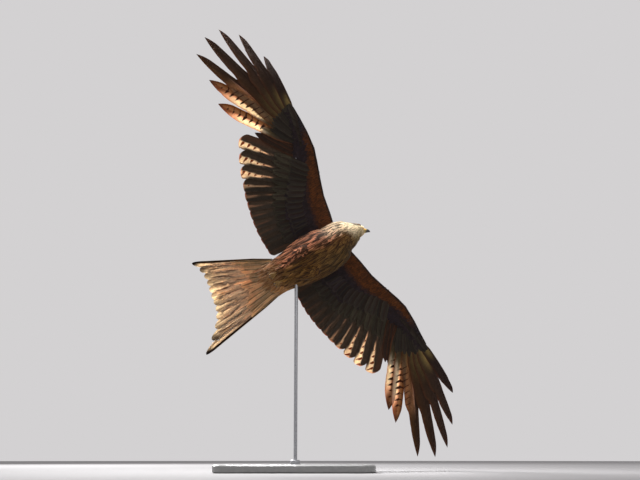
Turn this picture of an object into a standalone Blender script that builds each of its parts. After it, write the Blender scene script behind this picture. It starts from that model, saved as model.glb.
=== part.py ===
"""Red kite soaring in a banked turn, life size, on a display stand. Metres, +Z up.

The bird is modelled in its own frame: X towards the bill, Y to its left, Z to its back, with the origin on
the body's axis between the shoulders. The empty bird_pose carries it, banked over the base so that its belly
faces a viewer who looks along +Y and a little upwards. The world's origin is the centre of the base's
underside."""

import math

import bmesh
import bpy
import numpy as np
from mathutils import Matrix, Vector
from mathutils.bvhtree import BVHTree

# Clearance that touching pieces keep.
GAP = 0.0003

# The pose: the belly faces a viewer who looks up by VIEW_RISE, the body climbs by NOSE_UP in that view,
# and a small roll shows the right flank.
VIEW_RISE = math.radians(12.6)
NOSE_UP = math.radians(29.5)
FLANK_ROLL = math.radians(5.0)

# The point of the left flank that stands over the base's centre, in the bird's frame, and its height.
MOUNT_POINT = Vector((-0.215, 0.050, -0.022))
MOUNT_HEIGHT = 0.640

# The stand.
BASE_LENGTH = 0.520
BASE_WIDTH = 0.440
BASE_THICKNESS = 0.026
BASE_CORNER = 0.045
BASE_BEVEL = 0.004
ROD_RADIUS = 0.006
COLLAR_RADIUS = 0.017
COLLAR_HEIGHT = 0.014
ROD_SIDES = 24

# Body stations from the tail's root to the face: centre x, y, z, half width, rise above the centre,
# depth below it, and the roll of the section in degrees.
BODY_STATIONS = np.array(
    [
        (-0.264, 0.000, 0.017, 0.060, 0.017, 0.020, 0),
        (-0.240, 0.000, 0.014, 0.061, 0.022, 0.027, 0),
        (-0.216, 0.000, 0.010, 0.065, 0.030, 0.037, 0),
        (-0.190, 0.000, 0.005, 0.071, 0.039, 0.048, 0),
        (-0.140, 0.000, 0.000, 0.080, 0.047, 0.060, 0),
        (-0.090, 0.000, 0.000, 0.082, 0.051, 0.066, 0),
        (-0.045, 0.000, 0.000, 0.076, 0.050, 0.065, 0),
        (-0.012, -0.008, 0.002, 0.067, 0.046, 0.058, 0),
        (0.010, -0.009, 0.005, 0.060, 0.042, 0.050, 5),
        (0.028, -0.0065, 0.008, 0.051, 0.038, 0.042, 10),
        (0.042, -0.0048, 0.010, 0.0430, 0.034, 0.036, 13),
        (0.054, -0.0032, 0.011, 0.0350, 0.0295, 0.0300, 15),
        (0.064, -0.0015, 0.012, 0.0285, 0.0260, 0.0255, 17),
        (0.072, 0.0015, 0.012, 0.0237, 0.0225, 0.0215, 18),
        (0.079, 0.0050, 0.0115, 0.0180, 0.0175, 0.0170, 18),
        (0.085, 0.0085, 0.0105, 0.0125, 0.0125, 0.0125, 18),
        (0.0895, 0.0110, 0.0095, 0.0085, 0.0085, 0.0085, 18),
    ]
)
RUMP_RINGS = np.linspace(1, 3, 6)
TORSO_RINGS = np.linspace(3, 8, 14)
NECK_RINGS = np.linspace(8, 10.5, 6)
HEAD_RINGS = np.linspace(10.5, 16, 13)
TORSO_SIDES = 24
HEAD_SIDES = 24

# The head: centre, turn to the left, roll of its right side towards the belly, and its features.
HEAD_CENTRE = Vector((0.0572, -0.0054, 0.0118))
HEAD_TURN = math.radians(27.0)
HEAD_ROLL = math.radians(20.0)
HEAD_DIP = math.radians(6.0)
EYE_FORWARD, EYE_SIDE, EYE_UP = 0.0105, 0.0200, 0.0040
EYE_RADIUS = 0.0076
LID_RING, LID_THICK = 0.0065, 0.0013
FACE_FORWARD = 0.0262
CERE_LENGTH = 0.0085
BILL_LENGTH = 0.0200
BILL_DROP = 0.0095
MOUTH_LEVEL = -0.0042

# Wing outline in the wing's plan: (span from the body's axis, position forward).
LEADING_EDGE = [(0.03, 0.002), (0.10, 0.018), (0.17, 0.030), (0.23, 0.049), (0.29, 0.070), (0.335, 0.083)]
LEADING_EDGE += [(0.40, 0.087), (0.51, 0.085)]
FLESH_REAR = [(0.03, -0.120), (0.10, -0.122), (0.185, -0.108), (0.26, -0.052), (0.325, 0.012)]
FLESH_REAR += [(0.40, 0.036), (0.51, 0.060)]
FLESH_HALF = [(0.03, 0.017), (0.10, 0.0155), (0.185, 0.013), (0.26, 0.011), (0.325, 0.0095)]
FLESH_HALF += [(0.40, 0.007), (0.51, 0.0022)]
TRAILING_EDGE = [(0.085, -0.241), (0.16, -0.2435), (0.23, -0.2345), (0.31, -0.215), (0.40, -0.1865)]
TRAILING_EDGE += [(0.447, -0.167), (0.494, -0.141)]
WING_ROOT, WRIST, HAND_END = 0.03, 0.325, 0.50
SHOULDER_RISE = 0.022
DIHEDRAL_AT = [0.0, 0.05, 0.32, 0.60, 1.0]
DIHEDRAL_DEGREES = [13.0, 13.0, 6.5, 6.0, 6.0]
CAMBER_ARM, CAMBER_HAND = 0.34, 0.10
FLESH_SIDES = 9

# Flight feathers, innermost first. The three inner primaries are short, as they are growing.
PRIMARY_LENGTHS = {
    "left": [0.186, 0.190, 0.190, 0.340, 0.380, 0.513, 0.522, 0.492, 0.402, 0.272],
    "right": [0.192, 0.172, 0.164, 0.328, 0.390, 0.474, 0.484, 0.461, 0.391, 0.262],
}
PRIMARY_SWEEPS = {
    "left": [36.5, 35.5, 34.5, 35.7, 32.4, 22.9, 16.4, 11.0, 5.6, -3.3],
    "right": [35.8, 34.8, 33.8, 34.8, 27.1, 21.8, 14.9, 8.8, 3.0, -3.2],
}
PRIMARY_QUILLS = ((0.332, 0.030), (0.455, 0.067))
PRIMARY_LEADS = [0.010, 0.010, 0.011, 0.018, 0.016, 0.014, 0.0135, 0.0125, 0.0115, 0.011]
PRIMARY_TRAILS = [0.020, 0.016, 0.016, 0.026, 0.033, 0.038, 0.037, 0.035, 0.032, 0.021]
PRIMARY_CURLS = [0, 0, 0, 0.004, 0.008, 0.020, 0.030, 0.040, 0.042, 0.030]
PRIMARY_CURL_START = 0.45
FIRST_FINGER = 5
NOTCH_STARTS = [0.62, 0.57, 0.56, 0.60, 0.70]
NOTCH_SHARE = 0.82
SECONDARY_COUNT = 12
SECONDARY_QUILLS = [(0.085, -0.100), (0.195, -0.078), (0.306, 0.005)]
SECONDARY_TIPS = [(0, 0.494), (3, 0.347), (10, 0.107), (11, 0.086)]
SECONDARY_LEADS = [(0, 0.026), (1, 0.022), (3, 0.021), (6, 0.016), (11, 0.015)]
SECONDARY_TRAIL = 0.032
FLIGHT_THICK = 0.0007
COVERT_THICK = 0.0007
ROLL_PRIMARY, ROLL_SECONDARY, ROLL_COVERT = (0.092, 0.050), (0.058, 0.050), (0.056, 0.050)

# How a feather's tip closes over the last share x of its length: as 1 - x^a to the power b.
ROUND_TIP, BLUNT_TIP, POINTED_TIP = (2.2, 0.5), (2.0, 0.72), (1.7, 0.9)

# Where along a blade its sections lie, for a primary finger, another flight feather and a covert.
FINGER_STEPS = (0.0, 0.22, 0.46, 0.60, 0.74, 0.90, 0.975, 1.0)
FLIGHT_STEPS = (0.0, 0.25, 0.78, 0.94, 1.0)
COVERT_STEPS = (0.0, 0.35, 0.80, 1.0)

# The side of a blade's four that is its underside. It is split along the other diagonal, so that both faces
# are split alike.
UNDERSIDE = 2

# Covert tiers of the arm: lift, start and end along the secondary, half widths, count, and how much further
# the inner ones reach. No covert starts nearer to the leading edge than the setback.
ARM_TIERS = [
    (0.0034, -0.08, 0.46, 0.018, 0.026, 7, 0.14),
    (0.0064, -0.20, 0.20, 0.019, 0.028, 6, 0.08),
    (0.0094, -0.34, 0.02, 0.021, 0.032, 5, 0.02),
    (-0.0040, -0.08, 0.42, 0.018, 0.026, 7, 0.14),
    (-0.0071, -0.22, 0.16, 0.020, 0.030, 5, 0.08),
]
COVERT_SETBACK = 0.020

# Primary coverts: how far they lie over and under, their half widths, and their reach inwards and outwards.
HAND_TIERS = (0.0032, -0.0038)
HAND_COVERT = (0.010, 0.015)
HAND_REACH_INNER, HAND_REACH_OUTER = 0.118, 0.100
ALULA_COUNT = 3

# The side of each wing, and how much further forward its whole arm is.
SIDES = {"left": (1, 0.004), "right": (-1, -0.006)}
ARM_SHIFT_ENDS = 0.45

# The tail: root, axis turned to the right, half fan, and feather lengths to each side.
TAIL_ROOT = (-0.240, -0.003, 0.014)
TAIL_TURN = math.radians(8.5)
TAIL_HALF_FAN = math.radians(17.4)
TAIL_INNER = 0.263
TAIL_FORK = {"left": (0.362, 2.4), "right": (0.302, 4.0)}
TAIL_TWIST, TAIL_DOME, TAIL_DROOP = 0.17, 0.006, 0.02
TAIL_QUILL_SPREAD, TAIL_QUILL_BACK = 0.054, 0.016
TAIL_BASE_LENGTH = 0.085
TAIL_BASE_WIDER, TAIL_BASE_FAN = 0.007, 0.19
TAIL_BASE_START, TAIL_BASE_END = 0.0180, 0.0030
TAIL_LAYER = 0.0011
TAIL_PAIRS = 6
TAIL_OUTER_WEB = 0.4

# The thigh along its length as x, distance from the middle, z and radius, and the toes as how far each
# stands off to its side and its length, the hind toe last.
THIGH = [
    (-0.105, 0.040, -0.040, 0.008),
    (-0.130, 0.040, -0.046, 0.021),
    (-0.160, 0.036, -0.047, 0.024),
    (-0.190, 0.030, -0.043, 0.017),
    (-0.212, 0.024, -0.038, 0.0085),
]
TOES = ((0.010, 0.024), (0.0, 0.028), (-0.010, 0.024), (0.004, 0.016))

MATERIALS = {
    "plumage_rufous": ((0.30, 0.13, 0.055), 0.75, 0.0),
    "plumage_belly": ((0.34, 0.17, 0.085), 0.75, 0.0),
    "plumage_head": ((0.66, 0.60, 0.50), 0.75, 0.0),
    "wing_dark": ((0.055, 0.035, 0.028), 0.7, 0.0),
    "tail_rufous": ((0.50, 0.26, 0.12), 0.7, 0.0),
    "eye_dark": ((0.05, 0.03, 0.02), 0.1, 0.0),
    "cere_yellow": ((0.80, 0.58, 0.12), 0.4, 0.0),
    "bill_black": ((0.03, 0.03, 0.035), 0.3, 0.0),
    "foot_yellow": ((0.72, 0.50, 0.12), 0.5, 0.0),
    "stand_grey": ((0.62, 0.62, 0.62), 0.45, 0.0),
}


def material(name):
    """A Principled material of that finish, made once."""
    found = bpy.data.materials.get(name)
    if found:
        return found
    colour, roughness, metallic = MATERIALS[name]
    made = bpy.data.materials.new(name)
    made.use_nodes = True
    shader = made.node_tree.nodes["Principled BSDF"]
    shader.inputs["Base Color"].default_value = (*colour, 1)
    shader.inputs["Roughness"].default_value = roughness
    shader.inputs["Metallic"].default_value = metallic
    return made


def mesh_of(name, points, faces):
    """A closed mesh with its faces turned outwards."""
    mesh = bpy.data.meshes.new(name)
    mesh.from_pydata([tuple(map(float, p)) for p in points], [], faces)
    work = bmesh.new()
    work.from_mesh(mesh)
    bmesh.ops.recalc_face_normals(work, faces=work.faces)
    work.to_mesh(mesh)
    work.free()
    return mesh


def add_object(name, mesh, finish=None, parent=None):
    obj = bpy.data.objects.new(name, mesh)
    bpy.context.scene.collection.objects.link(obj)
    if finish:
        mesh.materials.clear()
        mesh.materials.append(material(finish))
        mesh.shade_smooth()
        mesh.set_sharp_from_angle(angle=math.radians(40))
    obj.parent = parent
    return obj


def ring_mesh(name, rings, turned=()):
    """A closed surface through equal rings of points, with each end closed by a fan round its middle. Each
    four-sided patch is split along the same diagonal, and along the other one on the sides in turned."""
    rings = np.asarray(rings, float)
    count, sides = rings.shape[:2]
    points = [*rings.reshape(-1, 3), rings[0].mean(0), rings[-1].mean(0)]
    first_middle, last_middle = count * sides, count * sides + 1
    faces = []
    for i in range(count - 1):
        for j in range(sides):
            a, b = i * sides + j, i * sides + (j + 1) % sides
            if j in turned:
                faces += [(a, b, a + sides), (b, b + sides, a + sides)]
            else:
                faces += [(a, b, b + sides), (a, b + sides, a + sides)]
    for j in range(sides):
        k = (j + 1) % sides
        faces.append((first_middle, k, j))
        faces.append((last_middle, last_middle - 1 - sides + j, last_middle - 1 - sides + k))
    return mesh_of(name, points, faces)


def applied(obj):
    """The object's mesh with its modifiers applied, in place of the object's own."""
    bpy.context.view_layer.update()
    graph = bpy.context.evaluated_depsgraph_get()
    mesh = bpy.data.meshes.new_from_object(obj.evaluated_get(graph))
    obj.modifiers.clear()
    obj.data = mesh
    return obj


def boolean(obj, operation, helper, solver="EXACT"):
    """Joins to, cuts from or keeps of obj the helper, an object or a collection, which is then removed."""
    modifier = obj.modifiers.new(operation, "BOOLEAN")
    modifier.operation = operation
    modifier.solver = solver
    if isinstance(helper, bpy.types.Collection):
        modifier.operand_type = "COLLECTION"
        modifier.collection = helper
        spent = list(helper.objects)
    else:
        modifier.object = helper
        spent = [helper]
    applied(obj)
    for used in spent:
        bpy.data.objects.remove(used)
    if isinstance(helper, bpy.types.Collection):
        bpy.data.collections.remove(helper)
    return obj


def keep_largest(obj):
    """Leaves only the connected surface that holds the most volume."""
    work = bmesh.new()
    work.from_mesh(obj.data)
    left = set(work.faces)
    shells = []
    while left:
        front = [left.pop()]
        shell = list(front)
        while front:
            face = front.pop()
            for edge in face.edges:
                for other in edge.link_faces:
                    if other in left:
                        left.remove(other)
                        front.append(other)
                        shell.append(other)
        shells.append(shell)
    shells.sort(key=shell_size, reverse=True)
    for shell in shells[1:]:
        bmesh.ops.delete(work, geom=shell, context="FACES")
    bmesh.ops.triangulate(work, faces=work.faces)
    work.to_mesh(obj.data)
    work.free()
    return obj


def shell_size(faces):
    """Six times the volume inside a shell, by the signed tetrahedra of its faces."""
    total = 0.0
    for face in faces:
        first = face.verts[0].co
        for one, two in zip(face.verts[1:-1], face.verts[2:]):
            total += first.dot(one.co.cross(two.co))
    return total


def fuse(obj, pieces, solver="MANIFOLD"):
    """Joins many closed meshes to obj with one union, and keeps one closed surface."""
    helpers = bpy.data.collections.new("fused")
    bpy.context.scene.collection.children.link(helpers)
    for index, mesh in enumerate(pieces):
        helpers.objects.link(bpy.data.objects.new(f"fused_{index}", mesh))
    boolean(obj, "UNION", helpers, solver)
    return keep_largest(obj)


def smooth_row(table, t):
    """The table's row at position t, by a Catmull-Rom curve through its rows."""
    t = min(max(t, 0.0), len(table) - 1.0)
    i = min(int(t), len(table) - 2)
    u = t - i
    before = table[i - 1] if i > 0 else 2 * table[0] - table[1]
    after = table[i + 2] if i + 2 < len(table) else 2 * table[-1] - table[-2]
    here, there = table[i], table[i + 1]
    slope_in, slope_out = (there - before) / 2, (after - here) / 2
    return (
        (2 * u**3 - 3 * u**2 + 1) * here
        + (u**3 - 2 * u**2 + u) * slope_in
        + (3 * u**2 - 2 * u**3) * there
        + (u**3 - u**2) * slope_out
    )


def body_ring(t, sides, grow=0.0, shift=0.0):
    """The body's section at station t: two half ellipses across the body's own line, grown by grow and moved
    along the line by shift."""
    row = smooth_row(BODY_STATIONS, t)
    step = 0.02
    ahead = smooth_row(BODY_STATIONS, t + step)[:3]
    behind = smooth_row(BODY_STATIONS, t - step)[:3]
    along = Vector(ahead - behind).normalized()
    left = Vector((0, 0, 1)).cross(along).normalized()
    up = along.cross(left)
    turn = Matrix.Rotation(-math.radians(row[6]), 3, along)
    left, up = turn @ left, turn @ up
    angles = np.arange(sides) * 2 * math.pi / sides
    across = (row[3] + grow) * np.cos(angles)
    height = np.where(np.sin(angles) > 0, row[4] + grow, row[5] + grow) * np.sin(angles)
    return row[:3] + shift * np.array(along) + np.outer(across, left) + np.outer(height, up)


def body_length(name, stations, sides):
    """A length of the body between two stations, its flat ends half the clearance short of them."""
    shifts = np.zeros(len(stations))
    shifts[0], shifts[-1] = GAP / 2, -GAP / 2
    return ring_mesh(name, [body_ring(t, sides, 0, shift) for t, shift in zip(stations, shifts)])


def body_grown():
    """The body from the rump to the neck as one mesh, grown by the clearance."""
    stations = np.concatenate([RUMP_RINGS, TORSO_RINGS[1:], NECK_RINGS[1:]])
    return ring_mesh("grown", [body_ring(t, TORSO_SIDES, GAP) for t in stations])


def body_cutter():
    """The grown body as an object that cuts what grows from it."""
    cutter = add_object("cutter", body_grown())
    cutter.hide_render = True
    cutter.display_type = "WIRE"
    return cutter


def head_frame():
    """The head's own frame: X forward, Y to its left, Z to its crown."""
    forward = Vector((math.cos(HEAD_TURN), math.sin(HEAD_TURN), 0))
    level = Vector((-math.sin(HEAD_TURN), math.cos(HEAD_TURN), 0))
    left = math.cos(HEAD_ROLL) * level + math.sin(HEAD_ROLL) * Vector((0, 0, 1))
    up = forward.cross(left)
    forward, up = Matrix.Rotation(HEAD_DIP, 3, left) @ forward, Matrix.Rotation(HEAD_DIP, 3, left) @ up
    frame = Matrix((forward, left, up)).transposed().to_4x4()
    frame.translation = HEAD_CENTRE
    return frame


def tube(name, path, radii, sides, flatten=1.0):
    """A tapered tube along a path of points, flattened across by flatten."""
    path = [Vector(p) for p in path]
    rings = []
    for i, point in enumerate(path):
        along = (path[min(i + 1, len(path) - 1)] - path[max(i - 1, 0)]).normalized()
        side = along.cross(Vector((0, 0, 1)))
        side = side.normalized() if side.length > 1e-3 else Vector((0, 1, 0))
        up = side.cross(along)
        ring = []
        for j in range(sides):
            angle = 2 * math.pi * j / sides
            ring.append(point + radii[i] * (math.cos(angle) * side * flatten + math.sin(angle) * up))
        rings.append([tuple(p) for p in ring])
    return ring_mesh(name, rings)


def ball(name, centre, radii, frame=Matrix.Identity(4), segments=20, rings=12):
    """An ellipsoid about centre in that frame."""
    work = bmesh.new()
    bmesh.ops.create_uvsphere(work, u_segments=segments, v_segments=rings, radius=1.0)
    mesh = bpy.data.meshes.new(name)
    work.to_mesh(mesh)
    work.free()
    place = frame @ Matrix.Translation(centre) @ Matrix.Diagonal((*radii, 1))
    mesh.transform(place)
    return mesh


def box(place):
    """A cube of side 1 in that frame."""
    work = bmesh.new()
    bmesh.ops.create_cube(work, size=1.0)
    mesh = bpy.data.meshes.new("box")
    work.to_mesh(mesh)
    work.free()
    mesh.transform(place)
    return mesh


def ring_round(name, centre, axis, ring_radius, thick, segments=14, sides=5):
    """A small torus round an axis."""
    turn = Vector(axis).to_track_quat("Z", "Y").to_matrix()
    points, faces = [], []
    for i in range(segments):
        a = 2 * math.pi * i / segments
        for j in range(sides):
            b = 2 * math.pi * j / sides
            reach = ring_radius + thick * math.cos(b)
            local = Vector((reach * math.cos(a), reach * math.sin(a), thick * math.sin(b)))
            points.append(Vector(centre) + turn @ local)
    for i in range(segments):
        for j in range(sides):
            a, b = i * sides + j, i * sides + (j + 1) % sides
            c, d = ((i + 1) % segments) * sides + (j + 1) % sides, ((i + 1) % segments) * sides + j
            faces += [(a, b, c), (a, c, d)]
    return mesh_of(name, points, faces)


def eye_place(side):
    return Vector((EYE_FORWARD, side * EYE_SIDE, EYE_UP))


def eye_axis(side):
    return Vector((0.30, side, 0.06)).normalized()


def build_head(parent):
    """The skull with its brows, lids, eye sockets and the slit of the mouth."""
    frame = head_frame()
    head = add_object("head", body_length("head", HEAD_RINGS, HEAD_SIDES), "plumage_head", parent)
    brows = []
    for side in (1, -1):
        path = [
            Vector((-0.002, side * 0.0235, 0.0120)),
            Vector((0.005, side * 0.0242, 0.0128)),
            Vector((0.0120, side * 0.0228, 0.0120)),
            Vector((0.0200, side * 0.0175, 0.0090)),
        ]
        brows.append(tube("brow", [frame @ p for p in path], (0.0030, 0.0042, 0.0040, 0.0022), 8))
    fuse(head, brows, "EXACT")
    front = frame @ Matrix.Translation((FACE_FORWARD + 0.02, 0, 0)) @ Matrix.Scale(0.04, 4)
    boolean(head, "DIFFERENCE", add_object("front", box(front)))
    for side in (1, -1):
        socket = ball("socket", eye_place(side), [EYE_RADIUS + GAP] * 3, frame, 16, 9)
        boolean(head, "DIFFERENCE", add_object("socket", socket))
    lids = []
    for side in (1, -1):
        reach = EYE_RADIUS + GAP + LID_THICK
        centre = eye_place(side) + eye_axis(side) * math.sqrt(reach**2 - LID_RING**2)
        axis = frame.to_3x3() @ eye_axis(side)
        lids.append(ring_round("lid", frame @ centre, axis, LID_RING, LID_THICK))
    fuse(head, lids, "EXACT")
    mouth = (FACE_FORWARD + 0.001, 0, MOUTH_LEVEL - 0.0009)
    slit = ball("slit", mouth, (0.0165, 0.030, 0.0006), frame, 16, 8)
    boolean(head, "DIFFERENCE", add_object("slit", slit))
    keep_largest(head)
    for side, name in ((1, "eye_left"), (-1, "eye_right")):
        eye = ball(name, eye_place(side), [EYE_RADIUS] * 3, frame, 18, 10)
        add_object(name, eye, "eye_dark", parent)


def bill_ring(forward, side_half, top, bottom, sides=16, drop=0.0, squarish=0.75):
    """A section of the bill in the head's frame, flat-bottomed where squarish is small."""
    angles = np.arange(sides) * 2 * math.pi / sides
    across = side_half * np.sign(np.cos(angles)) * np.abs(np.cos(angles)) ** squarish
    middle, half = (top + bottom) / 2, (top - bottom) / 2
    height = middle + half * np.sign(np.sin(angles)) * np.abs(np.sin(angles)) ** squarish
    return np.column_stack([np.full(sides, forward), across, height - drop])


def build_bill(parent):
    """Cere with nostrils, hooked upper mandible and lower mandible, each in front of the last."""
    frame = head_frame()
    turn, origin = np.array(frame.to_3x3()), np.array(frame.translation)
    start = FACE_FORWARD + GAP
    mouth = MOUTH_LEVEL
    cere = [
        bill_ring(start, 0.0108, 0.0098, mouth, squarish=0.8),
        bill_ring(start + CERE_LENGTH * 0.5, 0.0088, 0.0088, mouth - 0.0002, squarish=0.8),
        bill_ring(start + CERE_LENGTH, 0.0069, 0.0074, mouth - 0.0004, squarish=0.8),
    ]
    cere = [ring @ turn.T + origin for ring in cere]
    cere = add_object("cere", ring_mesh("cere", cere), "cere_yellow", parent)
    for side in (1, -1):
        place = (start + 0.0070, side * 0.0078, 0.0032)
        nostril = ball("nostril", place, (0.0019, 0.0022, 0.0011), frame, 10, 6)
        boolean(cere, "DIFFERENCE", add_object("nostril", nostril))
    keep_largest(cere)
    upper, lower = [], []
    first = start + CERE_LENGTH + GAP
    for i in range(9):
        u = i / 8
        forward = first + (BILL_LENGTH - 0.004) * (1 - (1 - u) ** 1.5)
        top = 0.0074 - (BILL_DROP + 0.0074) * u**2.3
        bottom = mouth - 0.0004 - 0.00066 * math.sin(math.pi * min(u * 1.25, 1))
        bottom -= BILL_DROP * max(0, u - 0.62) ** 1.3 * 2.4
        bottom = min(bottom, top - 0.0006)
        half = 0.0067 * (1 - u) ** 0.62 + 0.0005
        upper.append(bill_ring(forward, half, top, bottom, 14))
    for i in range(6):
        u = i / 5
        forward = start + (CERE_LENGTH + BILL_LENGTH * 0.60) * u
        half = 0.0088 * (1 - u) ** 0.7 + 0.0010
        top = mouth - 0.0004 - 2 * GAP
        lower.append(bill_ring(forward, half, top - 0.0006 * u, top - 0.0052 * (1 - 0.72 * u**1.5), 14))
    for name, rings in (("bill_upper", upper), ("bill_lower", lower)):
        placed = [ring @ turn.T + origin for ring in rings]
        add_object(name, ring_mesh(name, placed), "bill_black", parent)


def plan(points, span):
    """A plan line's position forward at that span."""
    table = np.array(points)
    return np.interp(span, table[:, 0], table[:, 1])


def camber(span, forward):
    """The wing's mid surface over its plan: highest a little behind the leading edge, drooping behind it."""
    behind = plan(LEADING_EDGE, span) - forward - 0.07
    share = np.clip((span - 0.30) / 0.25, 0, 1)
    depth = CAMBER_ARM + (CAMBER_HAND - CAMBER_ARM) * share * share * (3 - 2 * share)
    return -depth * behind**2


ARC_SPANS = np.linspace(0, 1.0, 401)
ARC_ANGLES = np.radians(np.interp(ARC_SPANS, DIHEDRAL_AT, DIHEDRAL_DEGREES))
ARC_STEP = ARC_SPANS[1]
ARC_OUT = np.cumsum(np.cos(ARC_ANGLES)) * ARC_STEP - ARC_STEP
ARC_UP = np.cumsum(np.sin(ARC_ANGLES)) * ARC_STEP + SHOULDER_RISE


def wing_point(side_name, span, forward, height):
    """A point of the wing's plan, raised by height, bent onto the wing's arch and put on its side."""
    side, shift = SIDES[side_name]
    forward = forward + shift * np.clip((ARM_SHIFT_ENDS - span) / 0.15, 0, 1)
    angle = np.interp(span, ARC_SPANS, ARC_ANGLES)
    out = np.interp(span, ARC_SPANS, ARC_OUT) - height * np.sin(angle)
    up = np.interp(span, ARC_SPANS, ARC_UP) + height * np.cos(angle)
    return np.stack(np.broadcast_arrays(forward, side * out, up), axis=-1)


def flesh(side_name, start, end, rings):
    """The feathered arm or hand: wing sections with a round nose and a thin rear, at even spans."""
    made = []
    u = np.linspace(0, 1, FLESH_SIDES) ** 1.4
    profile = 10 * (0.2969 * np.sqrt(u) - 0.1260 * u - 0.3516 * u**2 + 0.2843 * u**3 - 0.1036 * u**4)
    for span in np.linspace(start, end, rings):
        front, rear = plan(LEADING_EDGE, span), plan(FLESH_REAR, span)
        half = np.maximum(plan(FLESH_HALF, span) * profile, 0.0009 * (u > 0))
        forward = front + (rear - front) * u
        middle = camber(span, forward)
        top = wing_point(side_name, span, forward, middle + half)
        bottom = wing_point(side_name, span, forward, middle - half * 0.85)
        made.append(np.concatenate([top, bottom[:0:-1]]))
    return ring_mesh("flesh", made)


def vane_shape(t, lead, trail, closing, notch=None, root=0.35, end=ROUND_TIP):
    """Half widths before and behind the shaft at t: root of the full width at the quill, then a tip that
    closes in the form of end from the shares closing on, one for each side of the shaft. A notch (start,
    share) narrows the rear half from start on, as on the outer primaries."""
    swell = root + (1 - root) * np.clip(t / 0.25, 0, 1)
    sides = []
    for width, from_share in zip((lead, trail), closing):
        into = np.clip((t - from_share) / (1 - from_share), 0, 1)
        sides.append(width * swell * (1 - into ** end[0]) ** end[1])
    if notch:
        share = np.clip((t - notch[0]) / 0.12, 0, 1)
        sides[1] = sides[1] * (1 - (1 - notch[1]) * share * share * (3 - 2 * share))
    return [np.maximum(side, 0.0008) for side in sides]


def vane_mesh(place, quill, tip, shape, steps, thick, lift, roll, bow=0.0, curl=(0.0, 0.6), rear_tilt=1.0):
    """One feather's blade, a thin plate from quill to tip in plan (span, forward). place turns plan and
    height into a point. The shaft bows by bow, the blade is raised by lift, tilts with its front edge high
    by roll, a slope at the quill and one at the tip, behind the shaft times rear_tilt, and its end curls up
    by curl[0] from the share curl[1] on."""
    t = np.asarray(steps)[:, None]
    tilt = roll[0] + (roll[1] - roll[0]) * t[:, 0]
    quill, tip = np.asarray(quill, float), np.asarray(tip, float)
    run = tip - quill
    ahead = np.array([-run[1], run[0]]) / np.hypot(*run)
    if ahead[1] < 0:
        ahead = -ahead
    shaft = quill + run * t + ahead * bow * 4 * t * (1 - t)
    front, rear = vane_shape(t, *shape)
    rise = lift + curl[0] * np.clip((t[:, 0] - curl[1]) / (1 - curl[1]), 0, 1) ** 2
    edges = []
    for offset, share in ((front, 1.0), (-rear, rear_tilt)):
        edges.append((shaft + ahead * offset, rise + share * tilt * offset[:, 0]))
    rings = []
    for (flat, height), half in ((edges[0], 0.5), (edges[1], 0.5), (edges[1], -0.5), (edges[0], -0.5)):
        rings.append(place(flat[:, 0], flat[:, 1], height + half * thick))
    return ring_mesh("vane", np.stack(rings, axis=1), turned=(UNDERSIDE,))


def polar(quill, sweep, length):
    """The tip of a feather from its quill, swept back by sweep degrees from straight out."""
    angle = math.radians(sweep)
    return (quill[0] + length * math.cos(angle), quill[1] - length * math.sin(angle))


def primary_line(index, side_name):
    """Quill and tip of a primary in plan."""
    start, end = np.array(PRIMARY_QUILLS[0]), np.array(PRIMARY_QUILLS[1])
    quill = start + (end - start) * index / 9
    return quill, np.array(polar(quill, PRIMARY_SWEEPS[side_name][index], PRIMARY_LENGTHS[side_name][index]))


def secondary_line(position):
    """Quill and tip of a secondary in plan, by its place from the wrist: 0 is the outermost."""
    tip_span = plan(SECONDARY_TIPS, position)
    quill_span = 0.306 + (0.090 - 0.306) * position / (SECONDARY_COUNT - 1)
    quill = np.array([quill_span, plan(SECONDARY_QUILLS, quill_span)])
    return quill, np.array([tip_span, plan(TRAILING_EDGE, tip_span)])


def wing_place(side_name):
    """Turns plan and height over the mid surface into a point of that wing."""

    def place(span, forward, height):
        return wing_point(side_name, span, forward, camber(span, forward) + height)

    return place


def covert_mesh(place, quill, tip, shape, lift):
    """A covert: a short blade with few sections."""
    return vane_mesh(place, quill, tip, shape, COVERT_STEPS, COVERT_THICK, lift, ROLL_COVERT)


def hand_vanes(side_name):
    """Primaries, their coverts above and below, and the alula."""
    place = wing_place(side_name)
    vanes = []
    for index in range(10):
        quill, tip = primary_line(index, side_name)
        finger = index >= FIRST_FINGER
        notch = (NOTCH_STARTS[index - FIRST_FINGER], NOTCH_SHARE) if finger else None
        closing = (0.88, 0.66) if finger else (0.84, 0.70)
        shape = (PRIMARY_LEADS[index], PRIMARY_TRAILS[index], closing, notch, 0.35, POINTED_TIP)
        bow = 0.006 if index > 3 else 0.0
        curl = (PRIMARY_CURLS[index], PRIMARY_CURL_START)
        steps = FINGER_STEPS if finger else FLIGHT_STEPS
        vanes.append(vane_mesh(place, quill, tip, shape, steps, FLIGHT_THICK, 0, ROLL_PRIMARY, bow, curl))
    for index in range(3, 10):
        quill, tip = primary_line(index, side_name)
        run = (tip - quill) / np.hypot(*(tip - quill))
        reach = HAND_REACH_INNER if index < 8 else HAND_REACH_OUTER
        for lift in HAND_TIERS:
            start, end = quill + np.array((0.0, 0.004)) - run * 0.004, quill + run * reach
            vanes.append(covert_mesh(place, start, end, (*HAND_COVERT, (0.6, 0.6)), lift))
    for index in range(ALULA_COUNT):
        start = np.array((0.348, 0.066 + 0.003 * index))
        end = np.array((0.435 + 0.014 * index, 0.066 + 0.006 * index))
        lift = 0.0078 - 0.0013 * index
        vanes.append(covert_mesh(place, start, end, (0.006, 0.009, (0.7, 0.6)), lift))
    return vanes


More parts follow.
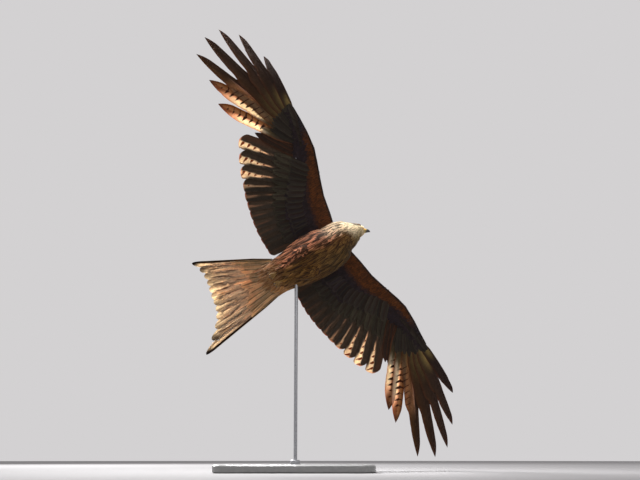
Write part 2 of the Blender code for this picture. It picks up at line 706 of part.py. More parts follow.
def covert_line(position, start_share, end_share):
    """A covert that lies along a secondary, from one share of its length to another."""
    quill, tip = secondary_line(position)
    room = plan(LEADING_EDGE, quill[0]) - quill[1] - COVERT_SETBACK
    start_share = max(start_share, -room / abs(tip[1] - quill[1]))
    return quill + (tip - quill) * start_share, quill + (tip - quill) * end_share


def arm_vanes(side_name):
    """Secondaries and tertials, with the covert tiers above and below."""
    place = wing_place(side_name)
    vanes = []
    for position in range(SECONDARY_COUNT):
        quill, tip = secondary_line(position)
        shape = (plan(SECONDARY_LEADS, position), SECONDARY_TRAIL, (0.82, 0.88), None, 0.35, BLUNT_TIP)
        plate = (FLIGHT_THICK, 0, ROLL_SECONDARY)
        vanes.append(vane_mesh(place, quill, tip, shape, FLIGHT_STEPS, *plate, bow=0.006))
    for lift, start_share, end_share, lead, trail, count, longer in ARM_TIERS:
        for index in range(count):
            position = 0.55 + (SECONDARY_COUNT - 1.75) * index / (count - 1)
            inward = index / (count - 1)
            quill, tip = covert_line(position, start_share, end_share + longer * inward)
            vanes.append(covert_mesh(place, quill, tip, (lead, trail, (0.6, 0.6)), lift))
    return vanes


def build_wing(name, parent):
    """The arm and the hand of one wing, parted at the wrist, each with its feathers."""
    arm = add_object(f"wing_{name}_arm", flesh(name, WING_ROOT, WRIST - GAP / 2, 8), "wing_dark", parent)
    fuse(arm, arm_vanes(name))
    boolean(arm, "DIFFERENCE", body_cutter(), "MANIFOLD")
    keep_largest(arm)
    hand = add_object(f"wing_{name}_hand", flesh(name, WRIST + GAP / 2, HAND_END, 6), "wing_dark", parent)
    fuse(hand, hand_vanes(name))
    for obj in (arm, hand):
        finish(obj, "wing_dark")


def finish(obj, name):
    """Gives a joined mesh its material and its smooth shading."""
    obj.data.materials.clear()
    obj.data.materials.append(material(name))
    obj.data.shade_smooth()
    obj.data.set_sharp_from_angle(angle=math.radians(40))


def tail_place(across, back, height):
    """A point of the tail's plan (across to the left, back from the root), turned, slightly domed, and
    twisted so that its right edge is high and each feather stays straight."""
    sideways = across * math.cos(TAIL_TURN) - back * math.sin(TAIL_TURN)
    rearwards = back * math.cos(TAIL_TURN) + across * math.sin(TAIL_TURN)
    outward = across / (TAIL_QUILL_SPREAD + math.tan(TAIL_HALF_FAN) * np.maximum(back, 0))
    rise = -(TAIL_DROOP + TAIL_TWIST * outward) * back - TAIL_DOME * outward**2
    x = TAIL_ROOT[0] - rearwards
    return np.stack(np.broadcast_arrays(x, TAIL_ROOT[1] + sideways, TAIL_ROOT[2] + rise + height), axis=-1)


def tail_line(number):
    """Side, rank from the middle, quill and tip of a tail feather in the tail's plan: 1 to 6 to the left, -1
    to -6 to the right."""
    side = "left" if number > 0 else "right"
    sign, rank = (1 if number > 0 else -1), abs(number) - 1
    outward = (rank + 0.5) / (TAIL_PAIRS - 0.5)
    longest, sharpness = TAIL_FORK[side]
    length = TAIL_INNER + (longest - TAIL_INNER) * (rank / (TAIL_PAIRS - 1)) ** sharpness
    angle = TAIL_HALF_FAN * outward
    root = np.array([TAIL_QUILL_SPREAD * outward, 0.0])
    tip = root + length * np.array([math.sin(angle), math.cos(angle)])
    quill = root + (tip - root) * TAIL_QUILL_BACK / tip[1]
    return sign, rank, quill, tip


def tail_vane(number, start_share, end_share, lead, trail, lift, steps, closing):
    """One tail feather or covert. Its outer edge is high, more so at the root where the quills crowd
    together. At the middle the left half lies over the right, so the first on the left is flat behind its
    shaft."""
    sign, rank, quill, tip = tail_line(number)
    run = tip - quill
    start, end = quill + run * start_share, quill + run * end_share
    if rank == TAIL_PAIRS - 1:
        lead *= TAIL_OUTER_WEB

    def place(span, forward, height):
        return tail_place(sign * span, -forward, height + sign * TAIL_LAYER)

    spacing = TAIL_QUILL_SPREAD + TAIL_HALF_FAN * TAIL_INNER * np.array([start_share, end_share])
    roll = TAIL_LAYER * (TAIL_PAIRS - 0.5) / spacing
    shape = (lead, trail, closing, None, 0.3)
    plan_start, plan_end = (start[0], -start[1]), (end[0], -end[1])
    rear_tilt = 0.0 if number == 1 else 1.0
    plate = (COVERT_THICK, lift, roll)
    return vane_mesh(place, plan_start, plan_end, shape, steps, *plate, rear_tilt=rear_tilt)


def build_tail(parent):
    """Root, twelve forked tail feathers and the coverts over and under them. The root runs on from the
    rump's last section into a thin wedge."""
    rings = []
    angles = np.arange(TORSO_SIDES) * 2 * math.pi / TORSO_SIDES
    start = body_ring(RUMP_RINGS[0], TORSO_SIDES, 0, -GAP / 2)
    for share in np.linspace(0, 1, 7):
        back = TAIL_BASE_LENGTH * share
        half = TAIL_QUILL_SPREAD + TAIL_BASE_WIDER + TAIL_BASE_FAN * back
        thick = TAIL_BASE_END + (TAIL_BASE_START - TAIL_BASE_END) * (1 - share) ** 1.5
        wedge = tail_place(half * np.cos(angles), np.full(TORSO_SIDES, back), thick * np.sin(angles))
        blend = min(share * 1.8, 1)
        rings.append((start - (back, 0, 0)) * (1 - blend) + wedge * blend)
    tail = add_object("tail", ring_mesh("tail", rings), "tail_rufous", parent)
    vanes = []
    for number in range(-TAIL_PAIRS, TAIL_PAIRS + 1):
        if number == 0:
            continue
        closing = (0.88, 0.82 - 0.05 * (abs(number) - 1))
        vanes.append(tail_vane(number, 0.0, 1.0, 0.015, 0.023, 0.0, FLIGHT_STEPS, closing))
        if number % 2 == 0:
            continue
        for lift, end_share in ((0.0060, 0.42), (-0.0064, 0.48)):
            vanes.append(tail_vane(number, 0.02, end_share, 0.019, 0.024, lift, COVERT_STEPS, (0.6, 0.6)))
    fuse(tail, vanes)
    finish(tail, "tail_rufous")


def build_leg(name, side, parent):
    """The feathered thigh, and the scaled foot drawn back under the tail with its toes closed."""
    thigh = tube(
        "thigh",
        [(x, side * y, z) for x, y, z, _ in THIGH],
        [radius for _, _, _, radius in THIGH],
        14,
    )
    thigh = add_object(f"thigh_{name}", thigh, "plumage_belly", parent)
    boolean(thigh, "DIFFERENCE", body_cutter())
    keep_largest(thigh)
    finish(thigh, "plumage_belly")
    ankle = Vector((-0.2125, side * 0.0238, -0.0379))
    heel = Vector((-0.262, side * 0.0160, -0.0215))
    along = (heel - ankle).normalized()
    start = ankle + along * 2 * GAP
    shank = tube("shank", [start, start + along * 0.012, heel], (0.0052, 0.0042, 0.0046), 10)
    foot = add_object(f"foot_{name}", shank, "foot_yellow", parent)
    toes = []
    for index, (spread, length) in enumerate(TOES):
        toe_side = Vector((0, side, 0))
        back = -1 if index == 3 else 1
        base = heel - along * 0.002
        dip = Vector((0, 0, -1))
        path = [
            base,
            base + Vector((-0.35 * length * back, 0, 0)) + toe_side * spread * 0.5 + dip * 0.003,
            base + Vector((-0.75 * length * back, 0, 0)) + toe_side * spread * 0.8 + dip * 0.0065,
            base + Vector((-0.88 * length * back, 0, 0)) + toe_side * spread * 0.7 + dip * 0.0120,
            base + Vector((-0.62 * length * back, 0, 0)) + toe_side * spread * 0.5 + dip * 0.0165,
        ]
        toes.append(tube("toe", path, (0.0036, 0.0034, 0.0030, 0.0020, 0.0005), 7))
    fuse(foot, toes)
    boolean(foot, "DIFFERENCE", body_cutter())
    keep_largest(foot)
    finish(foot, "foot_yellow")


def pose_matrix():
    """The bird's frame in the world, with the mount point over the base's centre."""
    right = Vector((1, 0, 0))
    up = Vector((0, -math.sin(VIEW_RISE), math.cos(VIEW_RISE)))
    away = Vector((0, math.cos(VIEW_RISE), math.sin(VIEW_RISE)))
    forward = math.cos(NOSE_UP) * right + math.sin(NOSE_UP) * up
    level_left = math.sin(NOSE_UP) * right - math.cos(NOSE_UP) * up
    left = math.cos(FLANK_ROLL) * level_left + math.sin(FLANK_ROLL) * away
    dorsal = math.cos(FLANK_ROLL) * away - math.sin(FLANK_ROLL) * level_left
    pose = Matrix((forward, left, dorsal)).transposed().to_4x4()
    pose.translation = Vector((0, 0, MOUNT_HEIGHT)) - pose.to_3x3() @ MOUNT_POINT
    return pose


def build_stand(pose):
    """A flat base with rounded corners, a collar on it, and a rod that ends on the bird's flank."""
    outline = []
    for corner in range(4):
        sign_x = (1, -1, -1, 1)[corner]
        sign_y = (1, 1, -1, -1)[corner]
        for step in range(7):
            angle = math.radians(90 * corner + 15 * step)
            centre_x = sign_x * (BASE_LENGTH / 2 - BASE_CORNER)
            centre_y = sign_y * (BASE_WIDTH / 2 - BASE_CORNER)
            reach_x, reach_y = BASE_CORNER * math.cos(angle), BASE_CORNER * math.sin(angle)
            outline.append((centre_x + reach_x, centre_y + reach_y))
    outline = np.array(outline)
    inner = outline * (1 - 2 * BASE_BEVEL / np.array([BASE_LENGTH, BASE_WIDTH]))
    upper = BASE_THICKNESS - BASE_BEVEL
    levels = ((0, inner), (BASE_BEVEL, outline), (upper, outline), (BASE_THICKNESS, inner))
    rings = [np.column_stack([flat, np.full(len(flat), level)]) for level, flat in levels]
    add_object("stand_base", ring_mesh("stand_base", rings), "stand_grey")
    circle = np.array([(math.cos(a), math.sin(a)) for a in np.arange(ROD_SIDES) * 2 * math.pi / ROD_SIDES])
    foot = BASE_THICKNESS + GAP
    levels = ((0, 1.0), (0.6, 1.0), (0.85, 0.92), (1.0, 0.75))
    rings = []
    for level, share in levels:
        height = np.full(ROD_SIDES, foot + COLLAR_HEIGHT * level)
        rings.append(np.column_stack([circle * COLLAR_RADIUS * share, height]))
    add_object("stand_collar", ring_mesh("stand_collar", rings), "stand_grey")
    body = body_grown()
    body.transform(pose)
    tree = BVHTree.FromPolygons([v.co for v in body.vertices], [p.vertices for p in body.polygons])
    low = foot + COLLAR_HEIGHT + GAP
    top = []
    for x, y in circle * ROD_RADIUS:
        top.append(tree.ray_cast(Vector((x, y, low)), Vector((0, 0, 1)))[0])
    middle = tree.ray_cast(Vector((0, 0, low)), Vector((0, 0, 1)))[0]
    points = [(x, y, low) for x, y in circle * ROD_RADIUS] + top + [(0, 0, low), middle]
    faces = []
    for j in range(ROD_SIDES):
        k = (j + 1) % ROD_SIDES
        faces += [(j, k, k + ROD_SIDES), (j, k + ROD_SIDES, j + ROD_SIDES)]
        faces += [(2 * ROD_SIDES, k, j), (2 * ROD_SIDES + 1, ROD_SIDES + j, ROD_SIDES + k)]
    add_object("stand_rod", mesh_of("stand_rod", points, faces), "stand_grey")
    bpy.data.meshes.remove(body)


def main():
    for obj in list(bpy.data.objects):
        bpy.data.objects.remove(obj)
    bird = bpy.data.objects.new("bird_pose", None)
    bpy.context.scene.collection.objects.link(bird)
    pose = pose_matrix()
    for name, stations, colour in (
        ("rump", RUMP_RINGS, "plumage_belly"),
        ("torso", TORSO_RINGS, "plumage_belly"),
        ("neck", NECK_RINGS, "plumage_head"),
    ):
        add_object(name, body_length(name, stations, TORSO_SIDES), colour, bird)
    build_head(bird)
    build_bill(bird)
    for name in SIDES:
        build_wing(name, bird)
        build_leg(name, SIDES[name][0], bird)
    build_tail(bird)
    build_stand(pose)
    bird.matrix_world = pose


main()
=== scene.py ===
"""Looks of the life-size red kite model: skin, plumage, eyes, bill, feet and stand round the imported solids.

The bird has its own frame: X towards the bill, Y to its left, Z to its back, in metres. Every shape is
worked out there and then carried to the world by the pose. A feather is a thin closed blade; big ones
follow lines in the plan of the wing or tail, small ones follow the skin from their root towards the tail."""

import math

import bpy
import numpy as np
from mathutils import Matrix


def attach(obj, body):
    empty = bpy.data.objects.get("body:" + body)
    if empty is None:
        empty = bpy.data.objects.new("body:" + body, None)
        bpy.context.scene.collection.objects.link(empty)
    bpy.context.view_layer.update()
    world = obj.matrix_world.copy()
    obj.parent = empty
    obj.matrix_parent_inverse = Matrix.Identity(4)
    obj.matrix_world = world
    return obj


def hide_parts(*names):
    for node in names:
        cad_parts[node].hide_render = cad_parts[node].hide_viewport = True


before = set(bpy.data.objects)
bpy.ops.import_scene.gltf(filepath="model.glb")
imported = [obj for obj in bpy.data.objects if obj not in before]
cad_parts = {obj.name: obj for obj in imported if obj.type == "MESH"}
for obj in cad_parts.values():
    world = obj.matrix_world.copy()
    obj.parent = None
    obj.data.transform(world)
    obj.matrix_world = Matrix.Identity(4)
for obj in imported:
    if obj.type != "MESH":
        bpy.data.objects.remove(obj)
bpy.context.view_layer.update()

CHANCE = np.random.default_rng(29)

# The pose: the belly faces a viewer who looks up by VIEW_RISE, the body climbs by NOSE_UP, and a small roll
# shows the right flank. MOUNT_POINT, in the bird's frame, stands over the base's centre at MOUNT_HEIGHT.
VIEW_RISE = math.radians(12.6)
NOSE_UP = math.radians(29.5)
FLANK_ROLL = math.radians(5.0)
MOUNT_POINT = np.array([-0.215, 0.050, -0.022])
MOUNT_HEIGHT = 0.640

# Body stations from the tail's root to the face: centre x, y, z, half width, rise above the centre, depth
# below it, and the roll of the section in degrees.
BODY_STATIONS = np.array(
    [
        (-0.264, 0.000, 0.017, 0.060, 0.017, 0.020, 0),
        (-0.240, 0.000, 0.014, 0.061, 0.022, 0.027, 0),
        (-0.216, 0.000, 0.010, 0.065, 0.030, 0.037, 0),
        (-0.190, 0.000, 0.005, 0.071, 0.039, 0.048, 0),
        (-0.140, 0.000, 0.000, 0.080, 0.047, 0.060, 0),
        (-0.090, 0.000, 0.000, 0.082, 0.051, 0.066, 0),
        (-0.045, 0.000, 0.000, 0.076, 0.050, 0.065, 0),
        (-0.012, -0.008, 0.002, 0.067, 0.046, 0.058, 0),
        (0.010, -0.009, 0.005, 0.060, 0.042, 0.050, 5),
        (0.028, -0.0065, 0.008, 0.051, 0.038, 0.042, 10),
        (0.042, -0.0048, 0.010, 0.0430, 0.034, 0.036, 13),
        (0.054, -0.0032, 0.011, 0.0350, 0.0295, 0.0300, 15),
        (0.064, -0.0015, 0.012, 0.0285, 0.0260, 0.0255, 17),
        (0.072, 0.0015, 0.012, 0.0237, 0.0225, 0.0215, 18),
        (0.079, 0.0050, 0.0115, 0.0180, 0.0175, 0.0170, 18),
        (0.085, 0.0085, 0.0105, 0.0125, 0.0125, 0.0125, 18),
        (0.0895, 0.0110, 0.0095, 0.0085, 0.0085, 0.0085, 18),
    ]
)

# The head's own frame and features, in metres along its forward, left and up.
HEAD_CENTRE = np.array([0.0572, -0.0054, 0.0118])
HEAD_TURN = math.radians(27.0)
HEAD_ROLL = math.radians(20.0)
HEAD_DIP = math.radians(6.0)
EYE_FORWARD, EYE_SIDE, EYE_UP = 0.0105, 0.0176, 0.0040
EYE_RADIUS = 0.0072
FACE_FORWARD = 0.0262
CERE_LENGTH = 0.0085
BILL_LENGTH = 0.0200
BILL_DROP = 0.0095
MOUTH_LEVEL = -0.0042

# Wing outline in the wing's plan: (span from the body's axis, position forward).
LEADING_EDGE = [(0.03, 0.002), (0.10, 0.018), (0.17, 0.030), (0.23, 0.049), (0.29, 0.070), (0.335, 0.083)]
LEADING_EDGE += [(0.40, 0.087), (0.51, 0.085)]
FLESH_REAR = [(0.03, -0.120), (0.10, -0.122), (0.185, -0.108), (0.26, -0.052), (0.325, 0.012), (0.40, 0.036)]
FLESH_REAR += [(0.51, 0.060)]
FLESH_HALF = [(0.03, 0.017), (0.10, 0.0155), (0.185, 0.013), (0.26, 0.011), (0.325, 0.0095), (0.40, 0.007)]
FLESH_HALF += [(0.51, 0.0022)]
TRAILING_EDGE = [(0.085, -0.241), (0.16, -0.2435), (0.23, -0.2345), (0.31, -0.215), (0.40, -0.1865)]
TRAILING_EDGE += [(0.447, -0.167), (0.494, -0.141)]
WING_ROOT, HAND_END = 0.03, 0.50
SHOULDER_RISE = 0.022
DIHEDRAL_AT = [0.0, 0.05, 0.32, 0.60, 1.0]
DIHEDRAL_DEGREES = [13.0, 13.0, 6.5, 6.0, 6.0]
CAMBER_ARM, CAMBER_HAND, CAMBER_PEAK = 0.34, 0.10, 0.07

# The lower half of a wing's section as a share of the upper half, and the least thickness at the rear.
LOWER_SHARE = 0.85
LEAST_ABOVE, LEAST_BELOW = 0.0094, 0.0071

# Flight feathers, innermost first. The three inner primaries are short, as they are growing.
PRIMARY_LENGTHS = {
    "left": [0.186, 0.190, 0.190, 0.340, 0.380, 0.513, 0.522, 0.492, 0.402, 0.272],
    "right": [0.192, 0.172, 0.164, 0.328, 0.390, 0.474, 0.484, 0.461, 0.391, 0.262],
}
PRIMARY_SWEEPS = {
    "left": [36.5, 35.5, 34.5, 35.7, 32.4, 22.9, 16.4, 11.0, 5.6, -3.3],
    "right": [35.8, 34.8, 33.8, 34.8, 27.1, 21.8, 14.9, 8.8, 3.0, -3.2],
}
PRIMARY_QUILLS = ((0.332, 0.030), (0.455, 0.067))
PRIMARY_LEADS = [0.010, 0.010, 0.011, 0.018, 0.016, 0.014, 0.0135, 0.0125, 0.0115, 0.011]
PRIMARY_TRAILS = [0.020, 0.016, 0.016, 0.027, 0.029, 0.038, 0.037, 0.035, 0.032, 0.021]
PRIMARY_CURLS = [0, 0, 0, 0.004, 0.008, 0.020, 0.030, 0.040, 0.042, 0.030]
FIRST_FINGER = 5
NOTCH_STARTS = [0.56, 0.53, 0.49, 0.52, 0.70]
NOTCH_SHARES = [0.66, 0.72, 0.62, 0.68, 0.90]
FRONT_NOTCH = 0.80
PRIMARY_COUNT, SECONDARY_COUNT = 10, 12
SECONDARY_OUTER, SECONDARY_INNER = 0.306, 0.090
SECONDARY_QUILLS = [(0.085, -0.100), (0.195, -0.078), (0.306, 0.005)]
SECONDARY_TIPS = [(0, 0.494), (3, 0.347), (10, 0.107), (11, 0.086)]
SECONDARY_LEADS = [(0, 0.026), (1, 0.022), (3, 0.021), (6, 0.016), (11, 0.015)]
ROLL_PRIMARY, ROLL_SECONDARY, ROLL_COVERT = (0.092, 0.050), (0.058, 0.050), (0.056, 0.050)

# The side of each wing, and how much further forward its arm is, which fades out over a run up to a span.
SIDES = {"left": (1, 0.004), "right": (-1, -0.006)}
ARM_SHIFT_ENDS, ARM_SHIFT_RUN = 0.45, 0.15

# The tail: root, axis turned to the right, half fan, and feather lengths to each side.
TAIL_ROOT = (-0.240, -0.003, 0.014)
TAIL_TURN = math.radians(8.5)
TAIL_HALF_FAN = math.radians(17.4)
TAIL_INNER = 0.263
TAIL_FORK = {"left": (0.362, 2.4), "right": (0.302, 4.0)}
TAIL_TWIST, TAIL_DOME, TAIL_DROOP = 0.17, 0.006, 0.02
TAIL_QUILL_SPREAD, TAIL_QUILL_BACK = 0.054, 0.016
TAIL_LAYER = 0.0011
TAIL_PAIRS = 6
TAIL_OUTER_WEB = 0.4

# How deep the roots of the small feathers lie in the body and in the wings, and the skin under them.
COAT, WING_COAT = 0.0030, 0.0018
SKIN_DEPTH, WING_SKIN_DEPTH = 0.0036, 0.0026


def tone(red, green, blue):
    """A display colour, 0 to 255, as the linear colour that a shader takes."""
    share = np.array([red, green, blue]) / 255
    return np.where(share <= 0.04045, share / 12.92, ((share + 0.055) / 1.055) ** 2.4)


# Plumage colours.
RUFOUS = tone(150, 84, 42)
RUFOUS_DEEP = tone(104, 54, 24)
RUFOUS_BACK = tone(160, 90, 46)
# Breast and belly browns are darker than the bird's own rufous: painted shade of the underside.
SHADED_BREAST_BROWN = tone(98, 62, 26)
SHADED_BELLY_BROWN = tone(92, 62, 24)
# Throat and left-breast olives stand for painted shade on the side turned from the light.
SHADED_BREAST_OLIVE = tone(80, 62, 36)
SHADED_THROAT_OLIVE = tone(132, 110, 62)
CHESTNUT_DARK = tone(74, 44, 28)
STREAK_DARK = tone(40, 24, 16)
BUFF = tone(200, 154, 110)
BUFF_BROWN = tone(172, 120, 72)
BUFF_OLIVE = tone(178, 134, 72)
# Flank pink is a painted sun highlight on the right flank.
FLANK_HIGHLIGHT_PINK = tone(208, 134, 98)
COVERT_BAND = tone(176, 138, 100)
TAIL_COVERT = tone(222, 172, 128)
CHESTNUT_SHADE = tone(58, 34, 22)
BUFF_PINK = tone(238, 184, 150)
CREAM = tone(250, 232, 200)
HEAD_CREAM = tone(250, 230, 190)
BLACK_BROWN = tone(34, 24, 21)
BROWN_EDGE = tone(92, 50, 26)
# The underwing's leading-edge brown is darkened the same way: painted shade of the underside.
SHADED_LEAD_BROWN = tone(84, 45, 15)
OLIVE_DARK = tone(60, 54, 42)
OLIVE_SHADE = tone(46, 40, 34)
OLIVE_EDGE = tone(74, 68, 50)
PURPLE_BLACK = tone(37, 29, 33)
TAIL_ORANGE = tone(188, 104, 52)

# The same for the thin flight and tail feathers, which throw back only part of the light.
FLIGHT_BLACK = tone(64, 53, 50)
FLIGHT_SLATE = tone(84, 74, 64)
FLIGHT_BROWN = tone(128, 88, 46)
FLIGHT_RUFOUS = tone(172, 92, 48)
FLIGHT_OLIVE = tone(196, 168, 104)
BAND_BROWN = tone(142, 84, 54)
TIP_BROWN = tone(148, 104, 72)
TAIL_BUFF = tone(252, 232, 202)
TAIL_BROWN = tone(226, 188, 148)
TAIL_STREAK = tone(98, 62, 42)
COVERT_BUFF = tone(240, 206, 160)


def smooth(x, low, high):
    """0 below low, 1 above high, and the cubic 3x^2 - 2x^3 between."""
    share = np.clip((x - low) / (high - low), 0, 1)
    return share * share * (3 - 2 * share)


def mixed(one, other, share):
    """Colour one turned towards the other by share, point by point."""
    share = np.asarray(share)[..., None]
    return one * (1 - share) + other * share


def bird_pose():
    """The bird's frame in the world: a turn, whose columns are forward, left and back, and the origin."""
    right = np.array([1.0, 0.0, 0.0])
    up = np.array([0.0, -math.sin(VIEW_RISE), math.cos(VIEW_RISE)])
    away = np.array([0.0, math.cos(VIEW_RISE), math.sin(VIEW_RISE)])
    forward = math.cos(NOSE_UP) * right + math.sin(NOSE_UP) * up
    level_left = math.sin(NOSE_UP) * right - math.cos(NOSE_UP) * up
    left = math.cos(FLANK_ROLL) * level_left + math.sin(FLANK_ROLL) * away
    dorsal = math.cos(FLANK_ROLL) * away - math.sin(FLANK_ROLL) * level_left
    turn = np.column_stack([forward, left, dorsal])
    return turn, np.array([0, 0, MOUNT_HEIGHT]) - turn @ MOUNT_POINT


POSE_TURN, POSE_ORIGIN = bird_pose()


def placed(points):
    """Points of the bird's frame in the world."""
    return np.asarray(points) @ POSE_TURN.T + POSE_ORIGIN


def head_pose():
    """The head's frame in the bird's: forward turned left, then its left rolled up and its front dipped."""
    forward = np.array([math.cos(HEAD_TURN), math.sin(HEAD_TURN), 0])
    level = np.array([-math.sin(HEAD_TURN), math.cos(HEAD_TURN), 0])
    left = math.cos(HEAD_ROLL) * level + math.sin(HEAD_ROLL) * np.array([0, 0, 1])
    up = np.cross(forward, left)
    dipped = math.cos(HEAD_DIP) * forward - math.sin(HEAD_DIP) * up
    return np.column_stack([dipped, left, np.cross(dipped, left)])


HEAD_AXES = head_pose()


def from_head(points):
    """Points of the head's frame in the bird's frame."""
    return np.asarray(points) @ HEAD_AXES.T + HEAD_CENTRE


def in_head(points):
    """Points of the bird's frame in the head's frame."""
    return (np.asarray(points) - HEAD_CENTRE) @ HEAD_AXES


def unit(vectors):
    """Vectors of length 1 that point the same ways."""
    return vectors / np.maximum(np.linalg.norm(vectors, axis=-1, keepdims=True), 1e-12)


# Meshes from arrays.
def mesh_object(name, points, faces, uv=None, sharp=50):
    """A mesh object from points in the world and arrays of equal-sided faces. The faces are turned over if
    the volume, summed as tetrahedra from the points' mean to the faces, is negative. uv has one row for
    each corner."""
    points = np.asarray(points, float).reshape(-1, 3)
    faces = [np.asarray(part, int) for part in faces if len(part)]
    volume = 0.0
    for part in faces:
        corner = [points[part[:, k]] - points.mean(0) for k in range(part.shape[1])]
        for k in range(1, part.shape[1] - 1):
            volume += np.einsum("ij,ij->", corner[0], np.cross(corner[k], corner[k + 1]))
    corners = [part.reshape(-1) for part in faces]
    sizes = np.concatenate([np.full(len(part), part.shape[1]) for part in faces])
    starts = np.concatenate([[0], np.cumsum(sizes)[:-1]])
    mesh = bpy.data.meshes.new(name)
    mesh.vertices.add(len(points))
    mesh.vertices.foreach_set("co", points.astype(np.float32).ravel())
    mesh.loops.add(int(sizes.sum()))
    mesh.loops.foreach_set("vertex_index", np.concatenate(corners).astype(np.int32))
    mesh.polygons.add(len(sizes))
    mesh.polygons.foreach_set("loop_start", starts.astype(np.int32))
    mesh.update(calc_edges=True)
    if uv is not None:
        layer = mesh.uv_layers.new(name="OFBake")
        layer.data.foreach_set("uv", np.asarray(uv, np.float32).ravel())
    if volume < 0:
        mesh.flip_normals()
    mesh.shade_smooth()
    mesh.set_sharp_from_angle(angle=math.radians(sharp))
    made = bpy.data.objects.new(name, mesh)
    bpy.context.scene.collection.objects.link(made)
    return made


def give(made, name, values):
    """Stores one row of numbers for each point: a colour with three, or one number."""
    values = np.asarray(values, np.float32)
    if values.ndim == 1:
        made.data.attributes.new(name, "FLOAT", "POINT").data.foreach_set("value", values)
        return
    made.data.attributes.new(name, "FLOAT_VECTOR", "POINT").data.foreach_set("vector", values.ravel())


def tube_faces(count, steps, ring):
    """Faces of count tubes, each of steps rings of ring points: quads along the sides and one face at each
    end. Also each corner's place round and along its own tube, from 0 to 1, and the tube it belongs to."""
    step, side = np.meshgrid(np.arange(steps - 1), np.arange(ring), indexing="ij")
    step, side = step.ravel(), side.ravel()
    after, near, far = (side + 1) % ring, step * ring, (step + 1) * ring
    quads = np.stack([near + side, near + after, far + after, far + side], 1)
    around = np.stack([side, side + 1, side + 1, side], 1) / ring
    ahead = np.stack([step, step, step + 1, step + 1], 1) / (steps - 1)
    caps = np.stack([np.arange(ring)[::-1], (steps - 1) * ring + np.arange(ring)])
    near_end = np.stack([np.arange(ring)[::-1] / ring, np.zeros(ring)], -1)
    far_end = np.stack([np.arange(ring) / ring, np.ones(ring)], -1)
    first = np.arange(count)[:, None, None] * (steps * ring)
    faces = [(quads[None] + first).reshape(-1, 4), (caps[None] + first).reshape(-1, ring)]
    sides = np.tile(np.stack([around, ahead], -1), (count, 1, 1, 1)).reshape(-1, 2)
    ends = np.tile(np.stack([near_end, far_end]), (count, 1, 1, 1)).reshape(-1, 2)
    owners = [np.repeat(np.arange(count), len(quads) * 4), np.repeat(np.arange(count), 2 * ring)]
    return faces, np.concatenate([sides, ends]), np.concatenate(owners)


def lofted(name, rings, sharp=50):
    """One closed surface through rings of points (steps, ring, 3) of the bird's frame."""
    rings = np.asarray(rings)
    faces = tube_faces(1, *rings.shape[:2])[0]
    return mesh_object(name, placed(rings), faces, sharp=sharp)


# What every point of a feather carries.
MARKS = ("vane", "metres", "pattern", "ground", "mark", "fringe")


class Plumage:
    """Feathers gathered for one piece: blocks of equal feathers (count, steps, ring) with their marks."""

    def __init__(self):
        self.blocks = []

    def add(self, points, patches, vane, metres, pattern, ground, mark, fringe):
        """points (n, s, r, 3) in the bird's frame, patches (n, 4) as corner and size in the bake map, and
        for each point: vane (across -1 to 1, along 0 to 1, chance), metres (across, along, chance), pattern
        (bars, streak, fringe) and three colours."""
        size = points.shape[:3] + (3,)
        rows = [np.broadcast_to(part, size) for part in (vane, metres, pattern, ground, mark, fringe)]
        self.blocks.append((points, patches, rows))

    def build(self, name):
        """The piece: every block's tubes in one mesh, with their marks as attributes."""
        points, rows, faces, corner_rows, offset = [], [[] for _ in MARKS], {}, {}, 0
        for block, patches, marks in self.blocks:
            count, steps, ring = block.shape[:3]
            parts, places, owners = tube_faces(count, steps, ring)
            corner = 0
            for part in parts:
                sides = part.shape[1]
                faces.setdefault(sides, []).append(part + offset)
                span = slice(corner, corner + part.size)
                patch = patches[owners[span]]
                corner_rows.setdefault(sides, []).append(patch[:, :2] + places[span] * patch[:, 2:])
                corner += part.size
            points.append(placed(block).reshape(-1, 3))
            for store, values in zip(rows, marks):
                store.append(values.reshape(-1, 3))
            offset += count * steps * ring
        sizes = sorted(faces)
        uvs = np.concatenate([row for sides in sizes for row in corner_rows[sides]])
        joined = [np.concatenate(faces[sides]) for sides in sizes]
        made = mesh_object(name, np.concatenate(points), joined, uvs)
        for label, store in zip(MARKS, rows):
            give(made, label, np.concatenate(store))
        return made


# Body surface.
def smooth_rows(table, t):
    """Rows of the table at positions t by a Catmull-Rom curve: the cubic whose end slopes are half the
    difference of the rows on both sides."""
    t = np.clip(np.asarray(t, float), 0, len(table) - 1)
    i = np.minimum(t.astype(int), len(table) - 2)
    u = (t - i)[..., None]
    padded = np.concatenate([[2 * table[0] - table[1]], table, [2 * table[-1] - table[-2]]])
    before, here, there, after = (padded[i + k] for k in range(4))
    slope_in, slope_out = (there - before) / 2, (after - here) / 2
    return (
        (2 * u**3 - 3 * u**2 + 1) * here
        + (u**3 - 2 * u**2 + u) * slope_in
        + (3 * u**2 - 2 * u**3) * there
        + (u**3 - u**2) * slope_out
    )


def body_surface(t, angle, grow):
    """The body at station t and angle round it, 0 at its left and rising to its back: centre plus the half
    width times the cosine across, plus the rise or the depth times the sine upwards, each grown by grow."""
    t, angle, grow = np.broadcast_arrays(t, angle, grow)
    row = smooth_rows(BODY_STATIONS, t)
    ahead, behind = (smooth_rows(BODY_STATIONS, t + step)[..., :3] for step in (0.02, -0.02))
    along = unit(ahead - behind)
    left = unit(np.cross([0.0, 0.0, 1.0], along))
    up = np.cross(along, left)
    roll = np.radians(row[..., 6])[..., None]
    left, up = left * np.cos(roll) - up * np.sin(roll), up * np.cos(roll) + left * np.sin(roll)
    across = (row[..., 3] + grow) * np.cos(angle)
    height = (np.where(np.sin(angle) > 0, row[..., 4], row[..., 5]) + grow) * np.sin(angle)
    return row[..., :3] + across[..., None] * left + height[..., None] * up


